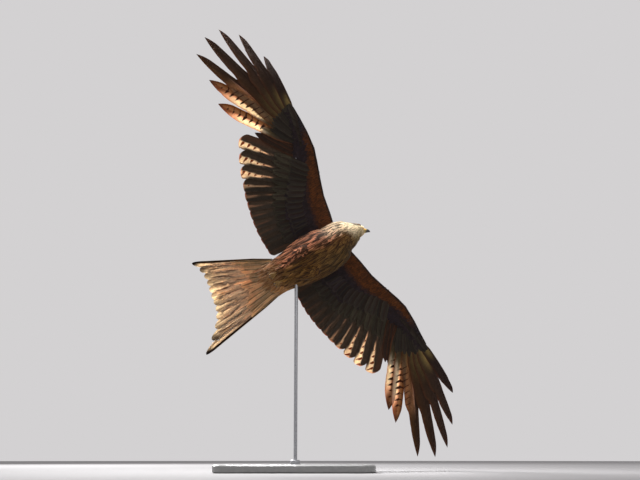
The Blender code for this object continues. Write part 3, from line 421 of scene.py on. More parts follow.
STATION_GRID = np.linspace(0, len(BODY_STATIONS) - 1, 1601)
STATION_STEPS = np.linalg.norm(np.diff(smooth_rows(BODY_STATIONS, STATION_GRID)[:, :3], axis=0), axis=1)
BACK_GRID = np.concatenate([[0], np.cumsum(STATION_STEPS[::-1])])[::-1]


def station_at(back):
    """The station at a distance back from the face, by the length of the body's centre line."""
    return np.interp(back, BACK_GRID[::-1], STATION_GRID[::-1])


def body_back(back, angle, grow):
    """The body's surface by distance back from the face and angle. Behind the rump it runs on straight."""
    beyond = np.maximum(back - BACK_GRID[0], 0)
    points = body_surface(station_at(back), angle, grow)
    points[..., 0] -= beyond
    return points


def body_radius(back, angle):
    """Metres for each radian round the body."""
    row = smooth_rows(BODY_STATIONS, station_at(back))
    tall = np.where(np.sin(angle) > 0, row[..., 4], row[..., 5])
    return np.hypot(row[..., 3] * np.sin(angle), tall * np.cos(angle))


# Wing and tail surfaces.
def plan(points, span):
    """A plan line's position forward at that span."""
    table = np.array(points)
    return np.interp(span, table[:, 0], table[:, 1])


def flesh_chord(span):
    """How far the wing's flesh reaches back from its leading edge."""
    return plan(LEADING_EDGE, span) - plan(FLESH_REAR, span)


def camber(span, forward):
    """The wing's mid surface over its plan: highest at CAMBER_PEAK behind the leading edge, falling with
    the square of the distance from there."""
    behind = plan(LEADING_EDGE, span) - forward - CAMBER_PEAK
    depth = CAMBER_ARM + (CAMBER_HAND - CAMBER_ARM) * smooth(span, 0.30, 0.55)
    return -depth * behind**2


ARC_SPANS = np.linspace(0, 1.0, 401)
ARC_ANGLES = np.radians(np.interp(ARC_SPANS, DIHEDRAL_AT, DIHEDRAL_DEGREES))
ARC_STEP = ARC_SPANS[1]
ARC_OUT = np.cumsum(np.cos(ARC_ANGLES)) * ARC_STEP - ARC_STEP
ARC_UP = np.cumsum(np.sin(ARC_ANGLES)) * ARC_STEP + SHOULDER_RISE


def wing_point(side_name, span, forward, height):
    """A point of the wing's plan, raised by height, bent onto the wing's arch and put on its side."""
    side, shift = SIDES[side_name]
    forward = forward + shift * np.clip((ARM_SHIFT_ENDS - span) / ARM_SHIFT_RUN, 0, 1)
    angle = np.interp(span, ARC_SPANS, ARC_ANGLES)
    out = np.interp(span, ARC_SPANS, ARC_OUT) - height * np.sin(angle)
    up = np.interp(span, ARC_SPANS, ARC_UP) + height * np.cos(angle)
    return np.stack(np.broadcast_arrays(forward, side * out, up), axis=-1)


def section(share):
    """Half thickness of a wing section from nose (0) to rear (1), as a share of its greatest: a polynomial
    with a square root at the nose."""
    x = np.clip(share, 0, 1)
    return 10 * (0.2969 * np.sqrt(x) - 0.1260 * x - 0.3516 * x**2 + 0.2843 * x**3 - 0.1036 * x**4)


# Distance over the skin behind the nose, in chords, against the share of the chord, at that section depth.
SECTION_DEPTH = 0.10
NOSE_SHARE = np.linspace(0, 1, 400) ** 2
NOSE_STEPS = np.hypot(np.diff(NOSE_SHARE), SECTION_DEPTH * np.diff(section(NOSE_SHARE)))
NOSE_ARC = np.concatenate([[0], np.cumsum(NOSE_STEPS)])


def wing_skin(side_name, face, least):
    """The skin of one face of a wing (1 above, -1 below) by distance behind the nose and span: the
    section's half thickness off the mid surface, no less than least at the rear, and grow along its outward
    normal."""
    step = 0.004

    def surface(behind, span, grow):
        front, chord = plan(LEADING_EDGE, span), flesh_chord(span)
        reach = behind / chord
        share = np.interp(reach, NOSE_ARC, NOSE_SHARE) + np.maximum(reach - NOSE_ARC[-1], 0)
        half = plan(FLESH_HALF, span) * (1.0 if face > 0 else LOWER_SHARE)
        floor = least * smooth(share, 0.3, 1.0)
        thick = np.maximum(half * section(share), floor)
        slope = half * (section(share + step) - section(share)) / (step * chord)
        slope = np.clip(slope, 0, 12)
        lean = 1 / np.sqrt(1 + slope**2)
        forward = front - chord * share + grow * slope * lean
        height = camber(span, forward) + face * (thick + grow * lean)
        return wing_point(side_name, span, forward, height)

    return surface


def wing_place(side_name):
    """Turns plan and height over the mid surface into a point of that wing."""

    def place(span, forward, height):
        return wing_point(side_name, span, forward, camber(span, forward) + height)

    return place


def tail_place(across, back, height):
    """A point of the tail's plan (across to the left, back from the root), turned, slightly domed, and
    twisted so that its right edge is high and each feather stays straight."""
    sideways = across * math.cos(TAIL_TURN) - back * math.sin(TAIL_TURN)
    rearwards = back * math.cos(TAIL_TURN) + across * math.sin(TAIL_TURN)
    outward = across / (TAIL_QUILL_SPREAD + math.tan(TAIL_HALF_FAN) * np.maximum(back, 0))
    rise = -(TAIL_DROOP + TAIL_TWIST * outward) * back - TAIL_DOME * outward**2
    x = TAIL_ROOT[0] - rearwards
    return np.stack(np.broadcast_arrays(x, TAIL_ROOT[1] + sideways, TAIL_ROOT[2] + rise + height), axis=-1)


# How a feather's tip closes over the last share x of its length: as 1 - x^a to the power b.
ROUND_TIP, BLUNT_TIP, POINTED_TIP = (2.2, 0.5), (2.0, 0.72), (1.7, 0.9)


# Big feathers.
def vane_shape(t, lead, trail, closing, notch=None, root=0.35, end=ROUND_TIP):
    """Half widths before and behind the shaft at t: root of the full width at the quill, then a tip that
    closes in the form of end from the shares closing on. A notch (start, share) narrows the rear half to
    that share, and the front half to FRONT_NOTCH."""
    swell = root + (1 - root) * np.clip(t / 0.25, 0, 1)
    sides = []
    for width, from_share in zip((lead, trail), closing):
        into = np.clip((t - from_share) / (1 - from_share), 0, 1)
        sides.append(width * swell * (1 - into ** end[0]) ** end[1])
    if notch:
        share = smooth(t, notch[0], notch[0] + 0.12)
        sides[0] = sides[0] * (1 - (1 - FRONT_NOTCH) * share)
        sides[1] = sides[1] * (1 - (1 - notch[1]) * share)
    return [np.maximum(side, 0.0004) for side in sides]


# Where the points of a blade's cross-section lie, from its front edge to its rear edge, in half widths.
WIDE_ACROSS = np.array([1.0, 0.72, 0.4, 0.09, 0.0, -0.05, -0.18, -0.32, -0.46, -0.6, -0.8, -1.0])
NARROW_ACROSS = np.array([1.0, 0.55, 0.1, 0.0, -0.07, -0.5, -1.0])


def frayed(steps, splits, depth):
    """The vane's edge along its length: 1, less a fine wave and a few narrow splits of up to depth."""
    edge = 1 - 0.02 * CHANCE.random(len(steps))
    for place in CHANCE.uniform(0.3, 0.95, splits):
        edge = edge * (1 - depth * CHANCE.uniform(0.3, 1.0) * np.exp(-(((steps - place) / 0.010) ** 2)))
    return edge


def vane_grid(place, quill, tip, shape, steps, across, lift, roll, bow=0.0, curl=(0.0, 0.6), rear_tilt=1.0,
              thick=0.0006, rachis=0.0010, cup=1.2, splits=3, fray=0.10):
    """One blade (steps, ring, 3) from quill to tip of a plan: the shaft is the straight line plus a bow of
    4t(1-t); across it the blade reaches the half widths of vane_shape, tilts by roll with its front high,
    and droops by cup times the square of the distance; its end curls up. It is a lens, thick at the shaft
    and thin at its edges, with the shaft as a ridge on both faces. Also each point's place across and
    along, its metres across, and the blade's length."""
    t = np.asarray(steps)
    tilt = roll[0] + (roll[1] - roll[0]) * t
    quill, tip = np.asarray(quill, float), np.asarray(tip, float)
    run = tip - quill
    length = np.hypot(*run)
    ahead = np.array([-run[1], run[0]]) / length
    if ahead[1] < 0:
        ahead = -ahead
    shaft = quill + run * t[:, None] + ahead * (bow * 4 * t * (1 - t))[:, None]
    front, rear = vane_shape(t, *shape)
    front, rear = front * frayed(t, 0, fray), rear * frayed(t, splits, fray)
    offset = np.where(across > 0, front[:, None] * across, rear[:, None] * across)
    flat = shaft[:, None, :] + ahead * offset[..., None]
    rise = (lift + curl[0] * np.clip((t - curl[1]) / (1 - curl[1]), 0, 1) ** 2)[:, None]
    rise = rise + tilt[:, None] * offset * np.where(across > 0, 1.0, rear_tilt) - cup * offset**2
    half = thick / 2 * (1 - 0.9 * np.abs(across) ** 2) * (1 - 0.6 * t[:, None])
    ridge = rachis * (1 - 0.85 * t[:, None]) * np.where(np.abs(across) < 0.02, 1.0, 0.0)
    top, bottom = rise + half + ridge * 0.5, rise - half - ridge
    rear_first = slice(len(across) - 2, 0, -1)
    flat = np.concatenate([flat, flat[:, rear_first]], axis=1)
    height = np.concatenate([top, bottom[:, rear_first]], axis=1)
    side = np.broadcast_to(np.concatenate([across, across[rear_first]]), height.shape)
    metres = np.concatenate([offset, offset[:, rear_first]], axis=1)
    along = np.broadcast_to(t[:, None], height.shape)
    return place(flat[..., 0], flat[..., 1], height), side, along, metres, length


def face_of(across):
    """1 on the upper points of a blade's ring, -1 on its lower ones and 0 at its edges."""
    count = len(across)
    return np.concatenate([[0], np.ones(count - 2), [0], -np.ones(count - 2)])


def add_blade(plumage, blade, across, patch, looks):
    """Adds one blade. looks(across, along, face) gives its pattern and its three colours."""
    points, side, along, metres, length = blade
    luck = CHANCE.random()
    face = np.broadcast_to(face_of(across), side.shape)
    pattern, ground, mark, fringe = looks(side, along, face)
    vane = np.stack([side, along, np.full_like(side, luck)], -1)
    spread = np.stack([metres, along * length, np.full_like(side, luck)], -1)
    rows = [np.broadcast_to(row, points.shape)[None] for row in (vane, spread, pattern, ground, mark, fringe)]
    plumage.add(points[None], np.array([patch]), *rows)


def strip(index, count):
    """A big feather's own strip of the bake map, with a margin."""
    return ((index + 0.04) / count, 0.02, 0.92 / count, 0.96)


FINE_STEPS = np.concatenate([np.linspace(0, 0.9, 46), np.linspace(0.9, 1, 15)[1:]])
COVERT_STEPS = np.concatenate([np.linspace(0, 0.8, 13), np.linspace(0.8, 1, 8)[1:]])


def primary_line(index, side_name):
    """Quill and tip of a primary in plan, swept back from straight out."""
    start, end = np.array(PRIMARY_QUILLS)
    quill = start + (end - start) * index / (PRIMARY_COUNT - 1)
    numbers = range(PRIMARY_COUNT)
    sweep = math.radians(np.interp(index, numbers, PRIMARY_SWEEPS[side_name]))
    length = np.interp(index, numbers, PRIMARY_LENGTHS[side_name])
    return quill, quill + length * np.array([math.cos(sweep), -math.sin(sweep)])


def secondary_line(position):
    """Quill and tip of a secondary in plan, by its place from the wrist: 0 is the outermost."""
    tip_span = plan(SECONDARY_TIPS, position)
    quill_span = SECONDARY_OUTER + (SECONDARY_INNER - SECONDARY_OUTER) * position / (SECONDARY_COUNT - 1)
    quill = np.array([quill_span, plan(SECONDARY_QUILLS, quill_span)])
    return quill, np.array([tip_span, plan(TRAILING_EDGE, tip_span)])


def by_face(face, upper, lower):
    """The upper colour above, the lower one below and their mean at the edges."""
    return mixed(lower, upper, (face + 1) / 2)


FLIGHT_BAR_GAP = 0.0235
FINGER_WARMTH = {5: 0.85, 6: 0.50, 7: 0.36, 8: 0.28, 9: 0.12}


def primary_looks(index):
    """Fingers: blackish, warmer towards the body and the rear edge, with an olive-buff base below; on the
    first finger a pale strip is painted as light shining through from behind. Fourth and fifth: brown outer
    web, paler beside the shaft from a third of its length on as painted light through it, and a cream inner
    web with bars that taper from the shaft; their base, where the coverts lie over it, is painted slate-olive
    as shade. The rest dull brown."""
    pale = index in (3, 4)

    def looks(side, along, face):
        rear, whole = np.clip(-side, 0, 1), np.ones(side.shape + (3,))
        if pale:
            web = mixed(BUFF_PINK * whole, CREAM * 1.04, smooth(rear, 0.10, 0.4))
            web = mixed(web, BUFF_PINK, 0.7 * smooth(along, 0.66, 0.80))
            web = mixed(web, TIP_BROWN, smooth(along + 0.10 * (1 - rear), 0.80, 0.92))
            # The outer web turns paler beside the shaft from a third of its length on: painted light through
            # it.
            outer = mixed(FLIGHT_BROWN * whole, TAIL_BROWN,
                          0.4 * smooth(along, 0.25, 0.6) * (1 - smooth(side, 0.2, 0.7)))
            below = mixed(outer, web, smooth(rear, 0.02, 0.14))
            # shaded paints the base, where the coverts lie over it, slate-olive and fades the bars there:
            # painted shade.
            shaded = 1 - smooth(along + 0.04 * np.cos(9 * side), 0.36, 0.48)
            below = mixed(below, mixed(FLIGHT_SLATE * whole, FLIGHT_OLIVE,
                                       0.30 * smooth(along, 0.20, 0.42)), shaded)
            below = mixed(below, FLIGHT_BLACK, smooth(along, 0.88, 1.0) * 0.8)
            above = mixed(below, FLIGHT_BROWN, 1 - 0.85 * smooth(rear, 0.08, 0.25))
            bars = np.where(side > 0, 0.52, 0.88 - 0.84 * rear) * (1 - 0.4 * smooth(along, 0.7,
                                                                                    0.9)) * (1 - 0.7 * shaded)
            bars = bars * (0.92 + 0.16 * np.sin(31 * along + 2 * index))
        else:
            warmth = FINGER_WARMTH.get(index, 0.22)
            below = mixed(FLIGHT_BLACK * whole, FLIGHT_BROWN, warmth * (0.35 + 0.65 * rear))
            window = smooth(along, 0.08, 0.14) * (1 - smooth(along, 0.22, 0.44)) * (index >= FIRST_FINGER)
            below = mixed(below, FLIGHT_OLIVE, 0.95 * window * np.exp(-((side / 0.5) ** 2)))
            # glowing paints a pale strip on the first finger, above and below: painted light shining through
            # it from behind.
            glowing = (index == FIRST_FINGER) * smooth(along, 0.18, 0.30) * (1 - smooth(along, 0.56, 0.72))
            below = mixed(below, TAIL_BROWN, 0.34 * glowing * smooth(rear, 0.02, 0.10))
            below = mixed(below, BUFF_PINK, glowing * (1 - smooth(np.abs(side + 0.05), 0.03, 0.10)))
            above = mixed(FLIGHT_BLACK * whole, BUFF_BROWN, 0.8 * glowing * smooth(rear, 0.05, 0.2))
            smear = smooth(np.sin(9 * side + 3 * np.sin(11 * along)) + 0.4 * np.sin(37 * along), 0.0, 0.9)
            below = mixed(below, FLIGHT_BLACK, 0.55 * glowing * smear)
            bars = 0.32 * glowing * smooth(rear, 0.1, 0.5) + 0.10
        pattern = np.stack([bars, np.zeros_like(side), 0.08 + (0.42 if pale else 0.12) * smooth(rear, 0.6,
                                                                                                1.0)], -1)
        return pattern, by_face(face, above, below), mixed(FLIGHT_BLACK * whole, BROWN_EDGE,
                                                           0.5), FLIGHT_RUFOUS * whole

    return looks


# How strongly the pale band, partly painted glow of light through one layer, shows in the secondaries, from
# the outermost in.
BAND_STRENGTH = [1.0, 1.0, 0.85, 0.60, 0.34, 0.16, 0.08, 0.05, 0.03, 0.02, 0.02, 0.02]
SECONDARY_TRAIL = 0.032


def secondary_looks(position):
    """Dark slate. Where the inner web is a single layer, from the shaft to the next feather's front edge,
    it has a pale wedge along that edge with rufous bars: the web's own paler barred colour with painted
    glow of the light that passes through one layer, on both faces. It starts beside the shaft near the tip
    and narrows to nothing towards the base. Inwards it shrinks to a thin rufous line. The single layer's
    width is the spacing less the front web's width."""
    strength = BAND_STRENGTH[position]
    quills, tips = zip(*(secondary_line(position + step) for step in (0, 1)))
    gaps = [np.hypot(*(pair[1] - pair[0])) * 0.93 for pair in (quills, tips)]

    def looks(side, along, face):
        rear, whole = np.clip(-side, 0, 1), np.ones(side.shape + (3,))
        single = np.clip((gaps[0] + (gaps[1] - gaps[0]) * along - plan(SECONDARY_LEADS,
                                                                       position)) / SECONDARY_TRAIL, 0, 1)
        begins = single * (1 - (0.25 + 0.75 * strength**0.5) * smooth(along, 0.74 - 0.38 * strength, 1.02))
        single = single + 0.6 * smooth(along, 0.94, 1.0)
        # The pale band follows the single layer, where light passes through: partly painted glow.
        pale_glow_band = smooth(rear, begins, begins + 0.07) * (1 - smooth(rear, single + 0.04, single + 0.14))
        pale_glow_band = pale_glow_band * smooth(along, 0.36, 0.50)
        pale = mixed(BUFF_PINK * whole, CREAM, 0.8 * smooth(along, 0.4, 0.8) * strength)
        below = mixed(FLIGHT_SLATE * whole, pale, pale_glow_band * strength)
        below = mixed(below, FLIGHT_RUFOUS, pale_glow_band * (1 - strength) * 0.14)
        if position == 0:
            below = mixed(below, FLIGHT_RUFOUS, 0.12 * smooth(side, 0.05, 0.2) * smooth(along, 0.4, 0.7))
        # The same band is painted cream on the upper face: painted glow.
        above = mixed(mixed(FLIGHT_SLATE * whole, FLIGHT_BROWN, 0.25), CREAM, 0.8 * pale_glow_band * strength)
        edge = smooth(along, 0.965, 1.0) + 0.4 * smooth(rear, 0.9, 1.0) * smooth(along, 0.8, 0.95)
        bars = pale_glow_band * (0.86 - 0.5 * smooth(rear, begins, single + 0.05)) * (0.4 + 0.6 * strength)
        pattern = np.stack([bars, np.zeros_like(side), 0.8 * np.clip(edge, 0, 1)], -1)
        return pattern, by_face(face, above, below), BAND_BROWN * whole, mixed(FLIGHT_RUFOUS * whole,
                                                                               BUFF_PINK, strength)

    return looks


def flight_feathers(side_name):
    """The ten primaries and twelve secondaries of one wing."""
    place, plumage, total = wing_place(side_name), Plumage(), PRIMARY_COUNT + SECONDARY_COUNT
    for index in range(PRIMARY_COUNT):
        quill, tip = primary_line(index, side_name)
        finger = index >= FIRST_FINGER
        notch = (NOTCH_STARTS[index - FIRST_FINGER], NOTCH_SHARES[index - FIRST_FINGER]) if finger else None
        closing = (0.88, 0.66) if finger else (0.84, 0.70)
        shape = (PRIMARY_LEADS[index], PRIMARY_TRAILS[index], closing, notch, 0.35, POINTED_TIP)
        bow = 0.006 if index > 3 else 0.0
        blade = vane_grid(place, quill, tip, shape, FINE_STEPS, WIDE_ACROSS, 0, ROLL_PRIMARY, bow,
                          (PRIMARY_CURLS[index], 0.45), rachis=0.0011)
        add_blade(plumage, blade, WIDE_ACROSS, strip(index, total), primary_looks(index))
    for position in range(SECONDARY_COUNT):
        quill, tip = secondary_line(position)
        shape = (plan(SECONDARY_LEADS, position), SECONDARY_TRAIL, (0.90, 0.93), None, 0.35, BLUNT_TIP)
        blade = vane_grid(place, quill, tip, shape, FINE_STEPS, WIDE_ACROSS, 0, ROLL_SECONDARY, 0.006,
                          rachis=0.0008)
        add_blade(plumage, blade, WIDE_ACROSS, strip(PRIMARY_COUNT + position, total),
                  secondary_looks(position))
    return plumage.build(f"flight_feathers_{side_name}")


# Covert tiers of the arm: lift, start and end along the secondary, half widths, count, how much longer the
# innermost is, and the ground colour of the outer and of the inner ones.
ARM_TIERS = [
    (0.0034, -0.08, 0.46, 0.012, 0.017, 13, 0.14, CHESTNUT_DARK, CHESTNUT_DARK),
    (0.0064, -0.20, 0.20, 0.011, 0.016, 14, 0.08, COVERT_BAND, CHESTNUT_DARK),
    (0.0094, -0.34, 0.02, 0.010, 0.015, 15, 0.02, COVERT_BAND, RUFOUS_DEEP),
    (-0.0040, -0.08, 0.42, 0.012, 0.017, 13, 0.14, OLIVE_DARK, OLIVE_SHADE),
    (-0.0071, -0.22, 0.16, 0.011, 0.016, 14, 0.08, OLIVE_SHADE, PURPLE_BLACK),
]
COVERT_SETBACK = 0.020

# Where a covert's tip begins to close before and behind the shaft.
COVERT_CLOSING = (0.6, 0.6)

# How far the coverts over and under the primaries reach, by the primary's number.
UPPER_HAND_COVERTS = [(2.6, 0.080), (5, 0.100), (8, 0.112), (9, 0.098)]
LOWER_HAND_COVERTS = [(2.6, 0.126), (5, 0.118), (7, 0.086), (9, 0.070)]


def covert_line(position, start_share, end_share):
    """A covert that lies along a secondary, from one share of its length to another."""
    quill, tip = secondary_line(position)
    room = plan(LEADING_EDGE, quill[0]) - quill[1] - COVERT_SETBACK
    start_share = max(start_share, -room / abs(tip[1] - quill[1]))
    return quill + (tip - quill) * start_share, quill + (tip - quill) * end_share


def covert_looks(colour, edge, edging=0.6):
    """One colour with a darker shaft streak and a paler edge, the same all over the blade."""

    def looks(side, along, face):
        whole = np.ones(side.shape + (3,))
        return np.array([0.0, 0.6, edging]) * whole, colour * whole, STREAK_DARK * whole, edge * whole

    return looks


def covert_feathers(side_name):
    """The rows of coverts along the arm, those over the primaries, and the alula."""
    place, plumage, jobs = wing_place(side_name), Plumage(), []
    for lift, start_share, end_share, lead, trail, count, longer, outer, inner in ARM_TIERS:
        for index in range(count):
            inward = index / (count - 1)
            position = -0.3 + (SECONDARY_COUNT - 0.9) * inward
            quill, tip = covert_line(position, start_share, end_share + longer * inward)
            colour = outer + (inner - outer) * smooth(inward, 0.2, 0.9)
            colour = colour * CHANCE.uniform(0.6, 1.35)
            edge = BUFF if lift > 0 else OLIVE_EDGE
            jobs.append((quill, tip, (lead, trail, COVERT_CLOSING), lift,
                         covert_looks(colour, edge, edging=0.35)))
    for index in np.linspace(2.6, 9, 12):
        quill, tip = primary_line(index, side_name)
        run = (tip - quill) / np.hypot(*(tip - quill))
        start = quill + np.array((0.0, 0.004)) - run * 0.004
        lower = plan(LOWER_HAND_COVERTS, index) * CHANCE.uniform(0.92,
                                                                                                      1.06)
        upper = plan(UPPER_HAND_COVERTS, index)
        for lift, colour, reach in ((0.0032, BLACK_BROWN, upper), (-0.0038, OLIVE_SHADE, lower)):
            looks = covert_looks(colour * CHANCE.uniform(0.65, 1.3), OLIVE_EDGE, edging=0.3)
            jobs.append((start, start + run * reach, (0.008, 0.011, COVERT_CLOSING), lift, looks))
    for index in range(3):
        start = np.array((0.348, 0.066 + 0.003 * index))
        end = np.array((0.435 + 0.014 * index, 0.066 + 0.006 * index))
        lift = 0.0078 - 0.0013 * index
        jobs.append((start, end, (0.006, 0.009, (0.7, 0.6)), lift, covert_looks(BLACK_BROWN, OLIVE_DARK)))
    for index, (quill, tip, shape, lift, looks) in enumerate(jobs):
        blade = vane_grid(place, quill, tip, shape, COVERT_STEPS, NARROW_ACROSS, lift, ROLL_COVERT,
                          thick=0.0005,
                          rachis=0.0004, splits=1, fray=0.06)
        add_blade(plumage, blade, NARROW_ACROSS, strip(index, len(jobs)), looks)
    return plumage.build(f"coverts_{side_name}")


def tail_line(number):
    """Side, rank from the middle, quill and tip of a tail feather in the tail's plan: 1 to 6 to the left,
    -1 to -6 to the right."""
    side = "left" if number > 0 else "right"
    sign, rank = (1 if number > 0 else -1), abs(number) - 1
    outward = (rank + 0.5) / (TAIL_PAIRS - 0.5)
    longest, sharpness = TAIL_FORK[side]
    length = TAIL_INNER + (longest - TAIL_INNER) * (rank / (TAIL_PAIRS - 1)) ** sharpness
    angle = TAIL_HALF_FAN * outward
    root = np.array([TAIL_QUILL_SPREAD * outward, 0.0])
    tip = root + length * np.array([math.sin(angle), math.cos(angle)])
    quill = root + (tip - root) * TAIL_QUILL_BACK / tip[1]
    return sign, rank, quill, tip


def tail_looks(rank):
    """Rufous-orange above and buff below, with dark streaks where a bent sine is high, cream towards the
    rear edge, faint bars on the outer ones, a dark outer web on the outermost and dark corners."""

    def looks(side, along, face):
        whole = np.ones(side.shape + (3,))
        pale = smooth(along, 0.78 - 0.02 * rank, 0.94) * (1 - 0.10 * rank) * (1 - 0.75 * smooth(side, 0.0,
                                                                                                0.35))
        below = mixed(TAIL_BUFF * whole, TAIL_BROWN, 0.7 * smooth(side, -0.3, 0.4))
        below = mixed(below, CREAM, np.clip(pale + 0.35 * smooth(-side, 0.4, 0.9), 0, 1))
        wave = np.sin(7 * side + 2.3 * rank + 2.6 * np.sin(7 * along + 1.7 * rank))
        wave = wave + 0.5 * np.sin(17 * side + 11 * along)
        streaks = smooth(wave, 0.25, 0.9) * smooth(along, 0.36, 0.60) * (1 - smooth(along, 0.88, 0.97))
        above = mixed(TAIL_ORANGE * whole, CREAM, 0.72 + 0.24 * pale)
        ground = mixed(by_face(face, above, below), TAIL_STREAK, 0.80 * streaks)
        tip = smooth(along, 0.82, 0.97) * smooth(side, -0.1, 0.5)
        ground = mixed(ground, TAIL_STREAK, 0.75 * tip)
        corner = smooth(along + 0.05 * side, 0.86, 0.96) * np.clip(0.34 * (rank - 2), 0, 1)
        ground = mixed(ground, BLACK_BROWN, corner)
        if rank == TAIL_PAIRS - 1:
            ground = mixed(ground, BLACK_BROWN * 0.5, smooth(side, -0.14, 0.0))
        faint = 0.26 + 0.010 * rank
        pattern = np.stack([np.full_like(side, faint), np.full_like(side, 0.3), 0.4 * (1 - corner)], -1)
        return pattern, ground, TAIL_STREAK * whole, CREAM * whole

    return looks


def tail_blade(number, start_share, end_share, lead, trail, lift, steps, across, closing, **more):
    """One tail feather or covert. Its outer edge is high, more so at the root where the quills crowd
    together."""
    sign, rank, quill, tip = tail_line(number)
    run = tip - quill
    start, end = quill + run * start_share, quill + run * end_share
    if rank == TAIL_PAIRS - 1:
        lead *= TAIL_OUTER_WEB

    def place(span, forward, height):
        return tail_place(sign * span, -forward, height + sign * TAIL_LAYER)

    spacing = TAIL_QUILL_SPREAD + TAIL_HALF_FAN * TAIL_INNER * np.array([start_share, end_share])
    roll = TAIL_LAYER * (TAIL_PAIRS - 0.5) / spacing
    shape = (lead, trail, closing, None, 0.3)
    rear_tilt = 0.0 if number == 1 else 1.0
    return vane_grid(place, (start[0], -start[1]), (end[0], -end[1]), shape, steps, across, lift, roll,
                     rear_tilt=rear_tilt, cup=0.4, **more)


def tail_feathers():
    """Twelve forked tail feathers with the long coverts over and under them."""
    plumage, numbers = Plumage(), [n for n in range(-TAIL_PAIRS, TAIL_PAIRS + 1) if n]
    total = len(numbers) * 3
    for index, number in enumerate(numbers):
        closing = (0.88, 0.82 - 0.05 * (abs(number) - 1))
        blade = tail_blade(number, 0.0, 1.0, 0.015, 0.023, 0.0, FINE_STEPS, WIDE_ACROSS, closing,
                           rachis=0.0009,
                           splits=9, fray=0.30)
        add_blade(plumage, blade, WIDE_ACROSS, strip(index, total), tail_looks(abs(number) - 1))
        for row, (lift, end_share, colour) in enumerate(((0.0056, 0.40, TAIL_COVERT),
                                                         (-0.0060, 0.50, COVERT_BUFF))):
            lead = 0.013 if abs(number) < TAIL_PAIRS else 0.002
            end_share = end_share * CHANCE.uniform(0.80, 1.12)
            blade = tail_blade(number, 0.02, end_share, lead, 0.017, lift, COVERT_STEPS, NARROW_ACROSS,
                               COVERT_CLOSING,
                               thick=0.0005, rachis=0.0004, splits=1, fray=0.06)
            place = strip(len(numbers) * (row + 1) + index, total)
            add_blade(plumage, blade, NARROW_ACROSS, place, covert_looks(colour, CREAM, edging=0.3))
    return plumage.build("tail_feathers")


# Small feathers.
TUFT_STEPS = np.array([0.0, 0.22, 0.45, 0.66, 0.84, 0.95, 1.0])
TUFT_RING = np.array([1.0, 0.0, -1.0, 0.0])
TUFT_THICK = 0.00035
TUFT_PATCH = 0.003


def tufts(plumage, surface, metric, back, across, size, looks, unwrap, depth, rise, cup=5.0):
    """Small feathers that lie over a surface. Each starts at (back, across), turned by a small chance
    angle, and at u along it and v across it lies at back + uL and across + vw(u) over the surface, raised
    from depth by rise times uL and lowered at its sides by cup times the square of vw. w(u) swells and then
    closes as 1 - x^1.8 to the power 0.9. size is the length and the half width, looks the pattern and
    colours by root."""
    count = len(back)
    length, half = size
    length = length * CHANCE.uniform(0.85, 1.18, count)
    half = half * CHANCE.uniform(0.85, 1.15, count)
    yaw = CHANCE.normal(0, 0.09, count)
    luck = CHANCE.random(count)
    u, v = TUFT_STEPS[None, :, None], TUFT_RING[None, None, :]
    width = (0.45 + 0.55 * np.clip(u / 0.4, 0, 1)) * (1 - np.clip((u - 0.4) / 0.6, 0, 1) ** 1.8) ** 0.9
    width = np.maximum(width, 0.03)
    along = u * length[:, None, None] * np.ones_like(v)
    sideways = v * width * half[:, None, None]
    turned_back = along * np.cos(yaw)[:, None, None] - sideways * np.sin(yaw)[:, None, None]
    turned_side = along * np.sin(yaw)[:, None, None] + sideways * np.cos(yaw)[:, None, None]
    scale = metric(back, across)[:, None, None]
    tilt = rise * (0.7 + 0.6 * luck)[:, None, None]
    depth = np.broadcast_to(depth, count)[:, None, None]
    grow = tilt * along - depth - cup * sideways**2
    thick = TUFT_THICK * (1 - 0.7 * u) * np.array([0.0, 0.5, 0.0, -0.5])[None, None, :]
    points = surface(back[:, None, None] + turned_back, across[:, None, None] + turned_side / scale,
                     grow + thick)
    pattern, ground, mark, fringe = looks
    shape = points.shape
    vane = np.stack(np.broadcast_arrays(v, u, luck[:, None, None]), -1)
    metres = np.stack(np.broadcast_arrays(sideways, along, luck[:, None, None]), -1)
    wide = [np.broadcast_to(row[:, None, None, :], shape) for row in (pattern, ground, mark, fringe)]
    patch = np.full(count, TUFT_PATCH)
    patches = np.column_stack([unwrap[0] - patch / 2, unwrap[1] - patch / 2, patch, patch])
    plumage.add(points, patches, vane, metres, *wide)


def body_rows(first, last, gap_back, gap_side):
    """Roots in staggered rows round the body from one distance back to another. The gaps depend on it."""
    backs, angles = [], []
    back, row = first, 0
    while back < last:
        station = smooth_rows(BODY_STATIONS, station_at(back))
        around = math.pi * (station[3] + (station[4] + station[5]) / 2)
        count = max(int(around / gap_side(back)), 6)
        turn = (np.arange(count) + 0.5 * (row % 2)) * 2 * math.pi / count
        angles.append(turn + CHANCE.normal(0, 0.22, count) * 2 * math.pi / count)
        backs.append(back + CHANCE.normal(0, 0.22, count) * gap_back(back))
        back += gap_back(back)
        row += 1
    return np.concatenate(backs), np.concatenate(angles)


